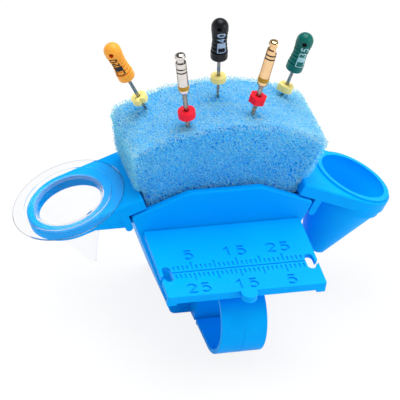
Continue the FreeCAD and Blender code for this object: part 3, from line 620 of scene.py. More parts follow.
def cut_away(piece: Object, cutter: Object, keep_finish: bool = False,
             crossing: bool = False) -> None:
    """Takes a cutter out of a piece and removes the cutter.

    Args:
        piece: The piece, whose mesh is replaced.
        cutter: Closed solid.
        keep_finish: Whether the cut faces take the cutter's own finish.
        crossing: Whether the cutter's own walls may cross, as at a numeral's sharp corner.
    """
    cut = piece.modifiers.new("Cut", "BOOLEAN")
    cut.operation, cut.object, cut.solver = "DIFFERENCE", cutter, "EXACT"
    cut.material_mode = "TRANSFER" if keep_finish else "INDEX"
    cut.use_self = crossing
    settled_mesh(piece)
    bpy.data.objects.remove(cutter)


@dataclass(frozen=True)
class Lettering:
    """Plain numerals drawn as flat bands of even width along their strokes."""

    width: float
    height: float
    stroke: float
    pitch: float

    @staticmethod
    def arc(centre: tuple[float, float], radii: tuple[float, float], start: float, end: float) -> np.ndarray:
        """Points on an ellipse from one angle to another: x = a cos t, y = b sin t, in degrees."""
        angle = np.radians(np.linspace(start, end, 16))
        return np.stack([centre[0] + radii[0] * np.cos(angle), centre[1] + radii[1] * np.sin(angle)], axis=1)

    def strokes(self, digit: str) -> list[np.ndarray]:
        """Lines of a digit in a box 0.62 wide and 1 high.

        Args:
            digit: One of 0 to 5.

        Returns:
            Arrays of shape (n, 2), one for each stroke.
        """
        if digit == "0":
            return [self.arc((0.31, 0.5), (0.31, 0.5), 90, -270)]
        if digit == "1":
            return [np.array([(0.06, 0.72), (0.34, 1.0), (0.34, 0.0)])]
        if digit == "2":
            return [np.concatenate([self.arc((0.31, 0.7), (0.3, 0.3), 170, -32), [(0.02, 0.0), (0.62, 0.0)]])]
        if digit == "3":
            return [self.arc((0.29, 0.75), (0.27, 0.25), 155, -72),
                    self.arc((0.29, 0.27), (0.31, 0.27), 84, -160)]
        if digit == "4":
            return [np.array([(0.62, 0.28), (0.0, 0.28), (0.46, 1.0), (0.46, 0.36)]),
                    np.array([(0.46, 0.2), (0.46, 0.0)])]
        if digit == "5":
            bowl = self.arc((0.28, 0.33), (0.32, 0.33), 122, -150)
            return [np.concatenate([[(0.58, 1.0), (0.12, 1.0), (0.06, 0.54)], bowl])]
        raise ValueError(digit)

    def bands(self, text: str) -> list[tuple[np.ndarray, np.ndarray]]:
        """Edge points of every band of a number, centred across, with its lowest line at the half stroke.

        At each point of a stroke the two edges lie half a width aside, along the bisector of the runs that
        meet there and over the cosine of half their turn, so that the width stays even round a corner.

        Args:
            text: Number to draw.

        Returns:
            Pairs of arrays of shape (n, 2): the left and the right edge of each band.
        """
        edges = []
        for place, digit in enumerate(text):
            start = (place - (len(text) - 1) / 2) * self.pitch - 0.31 * self.width
            for line in self.strokes(digit):
                line = line * (self.width, self.height) + (start, self.stroke / 2)
                runs = unit(np.diff(line, axis=0))
                closed = np.allclose(line[0], line[-1])
                before = np.concatenate([runs[-1:] if closed else runs[:1], runs])
                after = np.concatenate([runs, runs[:1] if closed else runs[-1:]])
                aside = unit(np.stack([-(before + after)[:, 1], (before + after)[:, 0]], axis=1))
                even = np.clip((aside * np.stack([-after[:, 1], after[:, 0]], axis=1)).sum(axis=1), 0.6, 1.0)
                shift = aside * (self.stroke / 2 / even)[:, None]
                edges.append((line + shift, line - shift))
        return edges


# Blue mouldings.

@dataclass
class Mouldings:
    """The well with its finger band, the ruler and both arms, with the moulded edges eased."""

    frame: dict
    edge: float = 0.12
    fine_edge: float = 0.06
    flat_angle: float = 0.6
    edge_angle: float = 32.0
    numeral_depth: float = 0.3
    plate_slope: float = 7.2
    lettering: Lettering = Lettering(2.75, 2.4, 0.46, 3.0)
    band_radius: float = 8.2
    seam_width: float = 0.12
    seam_depth: float = 0.07
    seam_arc: tuple[float, float] = (-12.0, 108.0)
    numerals: tuple[tuple[str, float, float], ...] = (
        ("5", -9.8, 9.9), ("15", 0.3, 9.9), ("25", 9.9, 9.9),
        ("25", -10.1, 19.9), ("15", 0.3, 19.9), ("5", 10.2, 19.9))

    def build(self) -> None:
        """Dresses the four mouldings."""
        blue = Finish.BLUE_MOULDING.material()
        for node, body, edge, cut in (("holder_body", "holder", self.edge, self.seam),
                                      ("gel_cup_arm", "gel_cup_carrier", self.edge, None),
                                      ("reservoir_arm", "reservoir", self.edge, None),
                                      ("ruler_plate", "holder", self.fine_edge, self.engrave)):
            piece = self.eased(node, edge, blue, split=cut is None)
            if cut is not None:
                cut(piece)
            dressed(piece, body, "blue_moulding", node)

    def eased(self, node: str, width: float, material: Material, split: bool) -> Object:
        """Merged copy of a CAD node whose sharp edges carry a narrow bevel.

        Args:
            node: CAD node to copy.
            width: Width of the bevel in millimetres.
            material: Finish of the copy.
            split: Whether faces with many corners are cut into triangles before they are bevelled.

        Returns:
            The copy, as a mesh with the bevel in it.
        """
        work = bmesh.new()
        work.from_mesh(self.frame["nodes"][node].data)
        bmesh.ops.remove_doubles(work, verts=work.verts, dist=2e-6)
        bmesh.ops.dissolve_limit(work, angle_limit=math.radians(self.flat_angle), verts=work.verts,
                                 edges=work.edges)
        if split:
            bmesh.ops.triangulate(work, faces=[face for face in work.faces if len(face.verts) > 4])
        mesh = bpy.data.meshes.new(node + "_shape")
        work.to_mesh(mesh)
        work.free()
        draft = linked(node + "_draft", mesh)
        bevel = draft.modifiers.new("Eased", "BEVEL")
        bevel.width = width * MILLIMETRE
        bevel.segments = 2
        bevel.limit_method = "ANGLE"
        bevel.angle_limit = math.radians(self.edge_angle)
        bevel.use_clamp_overlap = True
        settled_mesh(draft)
        draft.name = draft.data.name = node + "_moulding"
        draft.data.materials.clear()
        draft.data.materials.append(material)
        draft.data.shade_smooth()
        draft.data.set_sharp_from_angle(angle=MOULDED_SHARP)
        return draft

    def engrave(self, plate: Object) -> None:
        """Sinks the scale's numerals into the plate.

        Args:
            plate: The ruler, whose mesh is replaced.
        """
        slope = math.radians(self.plate_slope)
        down = np.array([0.0, -math.cos(slope), -math.sin(slope)])
        out = np.array([0.0, -math.sin(slope), math.cos(slope)])
        points, faces = [], []
        for text, across, base in self.numerals:
            foot = np.array([across, 0.0, 0.0]) + down * base
            for left, right in self.lettering.bands(text):
                rows = [foot + edge[:, :1] * (1.0, 0.0, 0.0) - edge[:, 1:] * down + rise * out
                        for rise in (self.numeral_depth, -self.numeral_depth) for edge in (left, right)]
                first = sum(len(block) for block in points)
                faces.append(first + bar_faces(len(left), closed=np.allclose(left[0], left[-1])))
                points.append(np.stack([rows[0], rows[1], rows[3], rows[2]], axis=1).reshape(-1, 3))
        cut_away(plate, mesh_piece("Numerals", np.concatenate(points), np.concatenate(faces), []),
                 crossing=True)
        plate.data.set_sharp_from_angle(angle=MOULDED_SHARP)

    def seam(self, holder: Object) -> None:
        """Cuts the fine line that the mould leaves round the front of the finger band.

        The cutter is a bar of square section along an arc about the finger's axis: y = -r cos t, z = -r sin t.

        Args:
            holder: The well with its finger band, whose mesh is replaced.
        """
        angle = np.radians(np.linspace(*self.seam_arc, 60))
        half, low, high = self.seam_width / 2, self.band_radius - self.seam_depth, self.band_radius + 0.4
        rows = [np.stack([0 * angle + across, -radius * np.cos(angle), -radius * np.sin(angle)], axis=1)
                for across, radius in ((-half, low), (half, low), (half, high), (-half, high))]
        points = np.stack(rows, axis=1).reshape(-1, 3) - WALL_ORIGIN
        cut_away(holder, mesh_piece("Seam", points, bar_faces(len(angle)), []))
        holder.data.set_sharp_from_angle(angle=MOULDED_SHARP)


# Foam.

@dataclass
class FoamBlock:
    """Open-cell block: a soft heart and a lace of strands over all that shows."""

    reach: float = 14.7
    neck: float = 13.2
    neck_low: float = 10.7
    neck_high: float = 14.5
    floor: float = -21.1
    crest: float = 24.4
    arc_radius: float = 43.364
    middle: float = 9.6
    half_depth: float = 7.9
    front_bulge: float = 0.5
    back_bulge: float = 2.7
    lean: float = 0.7
    taper: float = 1.2
    rounding: float = 0.6
    end_rounding: float = 2.4
    wall_top: float = 8.6
    shoulder: float = 11.0
    cell: float = 0.86
    strand: float = 0.05
    lattice_reach: tuple[float, float, float] = (27.0, 10.4, 15.0)
    lattice_height: float = 12.0
    waves: tuple[tuple[float, float], ...] = ((0.9, 0.22), (2.1, 0.1))
    jitter: float = 0.6
    shell: float = 0.8
    # Depth under the top arc in which strands take the paler finish of painted light.
    painted_light_depth: float = 1.6
    proud: float = 0.25
    heart_depth: float = 0.72
    seed: int = 7
    bores: list[Upright] = field(default_factory=list)

    def distance(self, points: np.ndarray) -> np.ndarray:
        """Signed distance to the block's rounded outline, negative inside.

        The block is where the leaning sides, the arc on top, the floor and the two faces meet; each has its
        own distance, and the corner between them is a rounded intersection of the three largest.

        Args:
            points: Array of shape (n, 3) in the wall frame.

        Returns:
            Array of shape (n,) in millimetres.
        """
        height = points[:, 2]
        aside = self.lean * smooth_step(8.0, 18.0, height)
        across, depth = np.abs(points[:, 0] - aside), np.abs(points[:, 1] - self.middle)
        along = across * math.sin(TILT) + height * math.cos(TILT)
        pinch = smooth_step(self.neck_low - 1.2, self.neck_low, along) * (
            1 - smooth_step(self.neck_high, self.neck_high + 1.6, along))
        narrow = (self.reach - self.neck) * pinch + self.taper * smooth_step(6.0, 18.0, height)
        side = across * math.cos(TILT) - height * math.sin(TILT) - self.reach + narrow
        top = np.hypot(across, height - self.crest + self.arc_radius) - self.arc_radius
        bulge = np.where(points[:, 1] > self.middle, self.back_bulge, self.front_bulge)
        swell = bulge * smooth_step(self.wall_top - 2.0, self.wall_top + 9.0, height)
        face = depth - self.half_depth - swell
        outline = np.maximum(np.maximum(side, top), self.floor - height)
        return np.maximum(self.meet(outline, face, self.rounding), self.meet(side, top, self.end_rounding))

    @staticmethod
    def meet(first: np.ndarray, second: np.ndarray, radius: float) -> np.ndarray:
        """Distance to where two walls meet in a round corner: the length of what both reach past its centre."""
        pair = np.stack([first, second], axis=1) + radius
        return np.hypot(*np.maximum(pair, 0.0).T) + np.minimum(pair.max(axis=1), 0.0) - radius

    def build(self) -> None:
        """Makes the heart and the lace."""
        heart = self.heart()
        dressed(heart, "holder", "blue_foam", "foam_insert")
        starts, ends = self.strands()
        middle = (starts + ends) / 2
        from_arc = np.hypot(middle[:, 0], middle[:, 2] - self.crest + self.arc_radius) - self.arc_radius
        on_top = from_arc > -self.painted_light_depth
        front = middle[:, 1] < self.middle
        # The top strands take the paler finish: painted light on the side that faces the lamps.
        for name, chosen, finish in (("foam_top_cells", on_top, Finish.FOAM_CROWN),
                                     ("foam_front_cells", ~on_top & front, Finish.FOAM_STRAND),
                                     ("foam_back_cells", ~on_top & ~front, Finish.FOAM_STRAND)):
            lace = self.lace(name, starts[chosen], ends[chosen], finish)
            lace.visible_shadow = lace.visible_diffuse = False
            dressed(lace, "holder", "blue_foam")

    def heart(self, rows: int = 130, columns: int = 220) -> Object:
        """Closed surface at a fixed depth below the outline.

        From a centre inside the block a ray leaves in each direction of a sphere, and the distance along it
        is halved until the signed distance there equals the depth.

        Args:
            rows: Points from the front pole to the back pole.
            columns: Points round each row.

        Returns:
            The heart of the foam.
        """
        polar, angle = np.linspace(0, np.pi, rows)[:, None], around(columns)[None, :]
        rays = np.stack([np.sin(polar) * np.cos(angle), -np.cos(polar) + 0 * angle,
                         np.sin(polar) * np.sin(angle)], axis=-1).reshape(-1, 3)
        centre = np.array([0.0, self.middle, 3.0])
        near, far = np.zeros(len(rays)), np.full(len(rays), 60.0)
        for _ in range(30):
            half = (near + far) / 2
            inside = self.distance(centre + rays * half[:, None]) < -self.heart_depth
            near, far = np.where(inside, half, near), np.where(inside, far, half)
        points = centre + rays * near[:, None]
        return mesh_piece("foam_heart", points, grid_faces(rows, columns), [Finish.FOAM_HEART.material()],
                          sharp=60.0)

    def strands(self) -> tuple[np.ndarray, np.ndarray]:
        """Ends of the strands of the outer cells.

        The cells are truncated octahedra on a body-centred lattice. In quarters of its step, their corners are
        the points with one coordinate 0, one odd and one 2, modulo 4, and the strands join corners that differ
        by one quarter along two axes. The lattice is turned and its corners are jittered, so no row shows.

        Returns:
            Two arrays of shape (n, 3) with the strands' ends in the wall frame.
        """
        random = np.random.default_rng(self.seed)
        quarter = self.cell / 4
        span = int(40 / quarter)
        count = 2 * span
        place = np.indices((count, count, count), dtype=np.int16)
        phase = np.sort(np.stack([place[0] % 4, place[1] % 4, place[2] % 4]), axis=0)
        corner = (phase[0] == 0) & ((phase[1] == 1) & (phase[2] == 2) | (phase[1] == 2) & (phase[2] == 3))
        del phase
        grid = np.argwhere(corner)
        turn = np.eye(3)
        for (first, second), angle in zip(((0, 1), (2, 0), (1, 2)), random.uniform(0.3, 0.6, 3)[::-1]):
            turn = turned(turn, first, second, angle)
        points = (grid - span) * quarter @ turn
        kept = (np.abs(points) < self.lattice_reach).all(axis=1)
        grid, points = grid[kept], points[kept] + (0.0, self.middle, self.lattice_height)
        for pace, sway in self.waves:
            waves = random.normal(0.0, pace, (3, 3))
            points += sway * np.sin(points @ waves.T + random.uniform(0, 6, 3))
        points += random.normal(0.0, self.jitter * quarter, points.shape)
        depth = self.distance(points)
        reach = self.wall_line(points[:, 0])
        top = np.where(self.clear_of_bores(points, 2.6), self.proud * random.random(len(points)), -0.05)
        kept = (depth < top) & (depth > -self.shell) & (points[:, 2] > reach - 1.2)
        grid, points = grid[kept], points[kept]
        number = np.full((count, count, count), -1, dtype=np.int32)
        number[tuple(grid.T)] = np.arange(len(grid))
        pairs = []
        for step in ((1, 1, 0), (1, -1, 0), (1, 0, 1), (1, 0, -1), (0, 1, 1), (0, 1, -1)):
            other = grid + np.array(step)
            inside = ((other >= 0) & (other < count)).all(axis=1)
            found = np.full(len(grid), -1)
            found[inside] = number[tuple(other[inside].T)]
            pairs.append(np.stack([np.flatnonzero(found >= 0), found[found >= 0]], axis=1))
        pairs = np.concatenate(pairs)
        starts, ends = points[pairs[:, 0]], points[pairs[:, 1]]
        clear = self.clear_of_bores((starts + ends) / 2, 0.6)
        return starts[clear], ends[clear]

    def wall_line(self, across: np.ndarray) -> np.ndarray:
        """Height of the front wall's top edge: level in the middle, along the shoulders at the ends."""
        return np.minimum(self.wall_top, (self.shoulder - np.abs(across) * math.sin(TILT)) / math.cos(TILT))

    def clear_of_bores(self, points: np.ndarray, radius: float) -> np.ndarray:
        """Says which points stand clear of the blades.

        Args:
            points: Array of shape (n, 3) in the wall frame.
            radius: Distance from a blade's axis in millimetres.

        Returns:
            Array of shape (n,), true where a point is further than the radius from every axis.
        """
        clear = np.ones(len(points), dtype=bool)
        for axis in self.bores:
            apart = turned(points - np.array(axis.foot), 0, 2, math.radians(axis.lean))
            clear &= np.hypot(apart[:, 0], apart[:, 1]) > radius
        return clear

    def lace(self, name: str, starts: np.ndarray, ends: np.ndarray, finish: Finish) -> Object:
        """Three-sided bars along all strands, closed at both ends.

        Each bar's corners stand at thirds of a turn round its run, on two unit vectors square to it.

        Args:
            name: Name of the piece.
            starts: First ends of the strands.
            ends: Second ends.
            finish: Their finish.

        Returns:
            The lace.
        """
        random = np.random.default_rng(self.seed + len(starts))
        run = unit(ends - starts)
        aside = unit(np.cross(run, np.array([0.31, 0.86, 0.41])))
        other = np.cross(run, aside)
        radius = self.strand * random.uniform(0.75, 1.25, len(starts))[:, None]
        turn = random.uniform(0, 2 * np.pi, len(starts))[:, None]
        corners = []
        for end in (starts, ends):
            for third in range(3):
                angle = turn + third * 2 * np.pi / 3
                corners.append(end + radius * (np.cos(angle) * aside + np.sin(angle) * other))
        points = np.stack(corners, axis=1).reshape(-1, 3)
        first = 6 * np.arange(len(starts))[:, None]
        sides = np.array([[0, 1, 4], [0, 4, 3], [1, 2, 5], [1, 5, 4], [2, 0, 3], [2, 3, 5], [2, 1, 0],
                          [3, 4, 5]])
        faces = (first[:, :, None] + sides[None]).reshape(-1, 3)
        return mesh_piece(name, points, faces, [finish.material()], sharp=None)


# Files.

class StopForm(Enum):
    """Outline of a silicone stop, seen along the blade."""

    ROUND = "round"
    NOTCHED = "notched"
    TEARDROP = "teardrop"
    HEXAGON = "hexagon"


@dataclass
class FileInFoam:
    """Where a file stands: its place in the foam, its leans and how far its blade shows."""

    name: str
    across: float
    depth: float
    lean: float
    grip_lean: float
    showing: float
    stop_at: float
    form: StopForm
    stop_radius: float = 1.65
    stop_height: float = 1.4
    bore: float = 0.42
    stop_turn: float = 0.0
    stop_nod: float = 0.0
    stop_soft: float = 0.2
    nose_reach: float = 0.5
    notch_at: float = 88.0
    notch_depth: float = 0.62
    notch_spread: float = 0.42

    def entry(self) -> Upright:
        """Place where the blade enters the foam: its arc's height is h - r + root of (r squared - x squared).

        Returns:
            The place, with the blade's lean.
        """
        foam = FoamBlock()
        drop = foam.arc_radius - math.sqrt(foam.arc_radius ** 2 - self.across ** 2)
        return Upright((self.across, self.depth, foam.crest - drop), self.lean)

    def head(self) -> Upright:
        """Place of the foot of the grip or shank."""
        return self.entry().up(self.showing, self.grip_lean)

    def outline(self, angle: np.ndarray) -> np.ndarray:
        """Radius of the stop's outline at each angle.

        A round stop keeps its radius. A hexagon's is its apothem over the cosine of the angle to the nearest
        side's middle. A teardrop follows its disc and the tangents to its nose. A notch takes a rounded wedge
        out of the disc.

        Args:
            angle: Angles round the blade in radians.

        Returns:
            Radii in millimetres.
        """
        radius = np.full_like(angle, self.stop_radius)
        if self.form is StopForm.HEXAGON:
            apart = (angle + np.pi / 6) % (np.pi / 3) - np.pi / 6
            return np.minimum(radius * math.cos(np.pi / 6) / np.cos(apart), 0.985 * self.stop_radius)
        if self.form is StopForm.TEARDROP:
            nose = self.stop_radius + self.nose_reach
            away = np.abs(angle % (2 * np.pi) - np.pi)
            spread = math.acos(self.stop_radius / nose)
            line = self.stop_radius / np.cos(np.clip(spread - away, 0, None))
            return np.where(away < spread, np.minimum(line, nose - 0.12), radius)
        if self.form is StopForm.NOTCHED:
            away = np.abs((angle + math.radians(self.notch_at) + np.pi) % (2 * np.pi) - np.pi)
            return radius - self.notch_depth * np.clip(1 - away / self.notch_spread, 0, 1) ** 0.9
        return radius

    def stop(self, material: Material, turns: int = 144) -> Object:
        """Soft-edged stop round the blade.

        The surface runs over the angle and over a closed loop through the section: up the bore, out along the
        top, over a rounded rim, down the side and back; the outline's radius scales the loop's outer part.

        Args:
            material: Finish of the stop.
            turns: Points round the blade.

        Returns:
            The stop.
        """
        soft, height = self.stop_soft, self.stop_height
        bend = np.linspace(0, np.pi / 2, 6)
        rim_in = np.r_[soft * (1 - np.sin(bend)), soft * (1 - np.cos(bend))]
        rim_up = np.r_[height - soft * (1 - np.cos(bend)), soft * (1 - np.sin(bend))]
        angle = around(turns)
        outer = self.outline(angle - math.radians(self.stop_turn))
        rows = [(np.full(turns, self.bore), 0.05), (np.full(turns, self.bore), height - 0.06),
                (np.full(turns, self.bore + 0.08), height)]
        rows += [(outer - inset, rise) for inset, rise in zip(rim_in, rim_up)]
        rows += [(np.full(turns, self.bore + 0.06), 0.0)]
        points = np.stack([np.stack([radius * np.cos(angle), radius * np.sin(angle), 0 * angle + rise], axis=-1)
                           for radius, rise in rows]).reshape(-1, 3)
        points = turned(points - (0.0, 0.0, height / 2), 1, 2, math.radians(self.stop_nod))
        place = self.entry().up(self.stop_at)
        faces = grid_faces(len(rows), turns, close_rows=True)
        return mesh_piece(f"{self.name}_stop_disc", place.place(points), faces, [material], sharp=50.0)


@dataclass
class HandFile:
    """Hand file: stepped grip with a domed head, tie hole and printed size, blade and stop."""

    stand: FileInFoam
    grip: Finish
    ink: Finish
    # Darker finish of the tie hole's wall: painted shade inside the hole.
    bore: Finish
    number: str
    hole_angle: float
    print_angle: float
    length: float = 10.3
    radius: float = 1.83
    sole: float = 1.15
    foot_rise: float = 0.55
    foot: float = 2.1
    waist: float = 1.56
    rings: int = 5
    barrel: float = 7.4
    ring_drop: float = 0.08
    groove: float = 0.21
    hole_height: float = 8.5
    hole_radius: float = 0.5
    number_at: float = 6.15
    print_drop: float = 0.0
    print_rise: float = 0.05
    print_thickness: float = 0.1
    turns: int = 80
    fields: tuple[tuple[float, float, float, float], ...] = (
        (2.45, 2.62, -0.9, 0.9), (2.62, 3.6, -0.9, -0.72), (2.62, 3.6, 0.72, 0.9), (3.6, 4.75, -0.9, 0.9))
    lettering: Lettering = Lettering(1.3, 1.4, 0.27, 1.32)

    def profile(self) -> np.ndarray:
        """Profile from the foot up: rounded foot, stepped rings to a waist and out again, round dome.

        Returns:
            Array of shape (n, 2) of radius and height.
        """
        bend = np.linspace(0, np.pi / 2, 10)
        foot = np.stack([self.sole + (self.radius - self.sole) * np.sin(bend),
                         self.foot_rise * (1 - np.cos(bend))], axis=1)
        number = np.arange(self.rings)
        pitch = (self.barrel - self.foot) / self.rings
        bow = np.abs(2 * (number + 0.5) / self.rings - 1)
        ring = self.waist + (self.radius - self.ring_drop - self.waist) * bow
        low = self.foot + number * pitch
        rows = ((-self.groove, 0.0), (-self.groove, 0.1), (-0.02, 0.22), (0.03, 0.5), (-0.02, 0.9),
                (-0.06, 1.0))
        steps = np.stack([np.stack([ring + rise, low + share * pitch], axis=1) for rise, share in rows],
                         axis=1).reshape(-1, 2)
        dome = np.stack([self.radius * np.cos(bend), self.length + self.radius * (np.sin(bend) - 1)], axis=1)
        line = np.concatenate([[[0.0, 0.0]], foot, [[self.radius, self.foot]], steps,
                               [[self.radius, self.barrel + 0.08]], dome])
        line = resample(line, 0.04, 0.09)
        line[0] = (0.0, 0.0)
        line[-1] = (0.0, self.length)
        return line

    def build(self) -> None:
        """Makes the grip, its print and the stop."""
        line, place, name = self.profile(), self.stand.head(), self.stand.name
        grip = mesh_piece(f"{name}_grip", place.place(revolve(line, self.turns)),
                          grid_faces(len(line), self.turns), [self.grip.material(), self.bore.material()])
        self.drill(grip, place)
        dressed(grip, "holder", f"{name}_grip", f"{name}_handle")
        dressed(self.marking(line, place), "holder", f"{name}_grip")
        dressed(self.stand.stop(Finish.YELLOW_STOP.material()), f"{name}_stop", "yellow_stop", f"{name}_stop")

    def drill(self, grip: Object, place: Upright) -> None:
        """Cuts the tie hole, whose wall takes the bore's finish: a darker colour, painted shade inside the
        hole.

        Args:
            grip: The grip, whose mesh is replaced.
            place: Where the grip stands.
        """
        angle, out = around(32), math.radians(self.hole_angle)
        aim = np.array([math.sin(out), -math.cos(out), 0.0])
        side, rise = np.array([math.cos(out), math.sin(out), 0.0]), np.array([0.0, 0.0, 1.0])
        ring = self.hole_radius * (np.cos(angle)[:, None] * side + np.sin(angle)[:, None] * rise)
        rows = [self.hole_height * rise + end * 3 * aim + share * ring
                for end, share in ((-1, 0), (-1, 1), (1, 1), (1, 0))]
        drill = mesh_piece("Drill", place.place(np.concatenate(rows)), grid_faces(4, 32),
                           [self.bore.material()])
        cut_away(grip, drill, keep_finish=True)
        grip.data.shade_smooth()
        grip.data.set_sharp_from_angle(angle=math.radians(40))

    def marking(self, line: np.ndarray, place: Upright) -> Object:
        """Printed size: an outlined field, a filled field and the number, reading up the grip.

        A flat drawing is cut by a fine grid and wrapped: its height becomes the angle round the grip, and its
        run the height along it, on the profile's radius and a hair more.

        Args:
            line: The grip's profile.
            place: Where the grip stands.

        Returns:
            The print.
        """
        work = bmesh.new()
        for left, right in self.lettering.bands(self.number):
            rows = [[work.verts.new((along + self.number_at, aside - self.lettering.height / 2, 0.0))
                     for along, aside in edge] for edge in (left, right)]
            for number in range(len(left) - 1):
                work.faces.new((rows[0][number], rows[1][number], rows[1][number + 1], rows[0][number + 1]))
        for low, high, bottom, top in self.fields:
            corners = ((low, bottom, 0), (high, bottom, 0), (high, top, 0), (low, top, 0))
            work.faces.new([work.verts.new(corner) for corner in corners])
        for axis, values in ((0, np.arange(2.3, 7.4, 0.14)), (1, np.arange(-0.86, 0.9, 0.14))):
            for value in values:
                normal = [0.0, 0.0, 0.0]
                normal[axis] = 1.0
                bmesh.ops.bisect_plane(work, geom=work.verts[:] + work.edges[:] + work.faces[:],
                                       plane_co=[value * unit for unit in normal], plane_no=normal)
        bmesh.ops.triangulate(work, faces=work.faces)
        flat = bpy.data.meshes.new("Marking")
        work.to_mesh(flat)
        work.free()
        points = np.empty(len(flat.vertices) * 3, np.float32)
        flat.vertices.foreach_get("co", points)
        points = points.reshape(-1, 3)
        faces = np.empty(len(flat.polygons) * 3, np.int32)
        flat.polygons.foreach_get("vertices", faces)
        points[:, 0] -= self.print_drop
        side = line[(line[:, 1] > 0.8) & (line[:, 1] < 8.6)]
        radius = self.print_rise + np.max([np.interp(points[:, 0] + near, side[:, 1], side[:, 0])
                                           for near in (-0.16, -0.08, 0, 0.08, 0.16)], axis=0)
        angle = math.radians(self.print_angle) - points[:, 1] / self.waist
        wrapped = np.stack([radius * np.sin(angle), -radius * np.cos(angle), points[:, 0]], axis=1)
        mark = mesh_piece(f"{self.stand.name}_size_mark", place.place(wrapped), faces.reshape(-1, 3),
                          [self.ink.material()], sharp=None)
        ply = mark.modifiers.new("Ply", "SOLIDIFY")
        ply.thickness, ply.offset = self.print_thickness * MILLIMETRE, -1.0
        settled_mesh(mark)
        return mark


@dataclass
class EngineFile:
    """Engine file: latch shank with two dark rings and a colour band, blade and stop."""

    stand: FileInFoam
    metal: Finish
    slot: str
    length: float = 10.7
    turn: float = 0.0
    radius: float = 1.12
    nose: float = 1.2
    band: float = 1.0
    band_radius: float = 1.2
    neck: float = 0.8
    tip: float = 0.25
    dome: float = 0.62
    latch: float = 1.05
    flat: float = 0.6
    flat_length: float = 3.4
    turns: int = 96
    rings: tuple[float, float] = (5.75, 6.65)
    ring_width: float = 0.3
    ring_depth: float = 0.05

    def profile(self) -> tuple[np.ndarray, np.ndarray]:
        """Radius and height from the foot up, and which rows start a dark ring.

        Returns:
            The profile and a flag for each of its rows.
        """
        band_top, top = self.nose + self.band, self.length
        bend = np.linspace(0, np.pi / 2, 7)
        head = np.stack([self.tip + (self.radius - self.tip) * np.cos(bend),
                         top + self.dome * (np.sin(bend) - 1)], axis=1)
        round_nose = np.stack([0.6 + (self.radius - 0.02 - 0.6) * np.sin(bend),
                               0.04 + (self.nose - 0.45) * (1 - np.cos(bend))], axis=1)
        rows = [(0.0, 0.0, 0), (0.56, 0.0, 0)] + [(radius, height, 0) for radius, height in round_nose]
        rows += [(self.radius - 0.02, self.nose - 0.05, 0), (self.radius - 0.04, self.nose, 0),
                 (1.0, self.nose, 0), (1.0, band_top, 0), (self.radius - 0.04, band_top, 0),
                 (self.radius, band_top + 0.05, 0)]
        for ring in self.rings:
            low, high = ring - self.ring_width / 2, ring + self.ring_width / 2
            deep = self.radius - self.ring_depth
            rows += [(self.radius, low - 0.02, 1), (deep, low + 0.02, 1), (deep, high - 0.02, 1),
                     (self.radius, high + 0.02, 0)]
        collar, latch = top - 2 * self.latch, top - self.latch
        rows += [(self.radius, collar - 0.08, 0), (self.radius - 0.08, collar, 0),
                 (self.neck + 0.06, collar, 0), (self.neck, collar + 0.08, 0), (self.neck, latch - 0.06, 0),
                 (self.neck + 0.06, latch, 0), (self.radius - 0.06, latch, 0), (self.radius, latch + 0.08, 0)]
        rows += [(radius, height, 0) for radius, height in head] + [(0.0, top, 0)]
        rows, low = np.array(rows), top - self.flat_length
        seam = int(np.argmax(rows[:, 1] > low))
        step = np.array([[self.radius, low, 0], [self.radius, low, 0]])
        rows = np.concatenate([rows[:seam], step, rows[seam:]])
        return rows[:, :2], rows[:, 2] > 0.5

    def build(self) -> None:
        """Makes the shank, the band and the stop."""
        line, dark = self.profile()
        turns = self.turns
        points = revolve(line, turns).reshape(len(line), turns, 3)
        low = self.length - self.flat_length
        first = int(np.flatnonzero(line[:, 1] == low)[-1])
        points[first:, :, 1] = np.minimum(points[first:, :, 1], self.flat)
        points = turned(points, 0, 1, math.radians(self.turn))
        slots = np.repeat(dark[:-1].astype(int), turns)
        name, place = self.stand.name, self.stand.head()
        shank = mesh_piece(f"{name}_latch_shank", place.place(points.reshape(-1, 3)),
                           grid_faces(len(line), turns), [self.metal.material(), Finish.RING_MARK.material()],
                           slots, sharp=30.0)
        dressed(shank, "holder", self.slot, f"{name}_shank")
        soft, outer, inner = 0.1, self.band_radius, 1.01
        low, high = self.nose + 0.01, self.nose + self.band - 0.01
        section = np.array([(inner, low), (outer - soft, low), (outer - 0.03, low + 0.03), (outer, low + soft),
                            (outer, high - soft), (outer - 0.03, high - 0.03), (outer - soft, high),
                            (inner, high)])
        band = mesh_piece(f"{name}_colour_band", place.place(revolve(section, turns)),
                          grid_faces(len(section), turns, close_rows=True), [Finish.AMBER_BAND.material()])
        dressed(band, "holder", "amber_band", f"{name}_band")
        dressed(self.stand.stop(Finish.RED_STOP.material()), f"{name}_stop", "red_stop", f"{name}_stop")


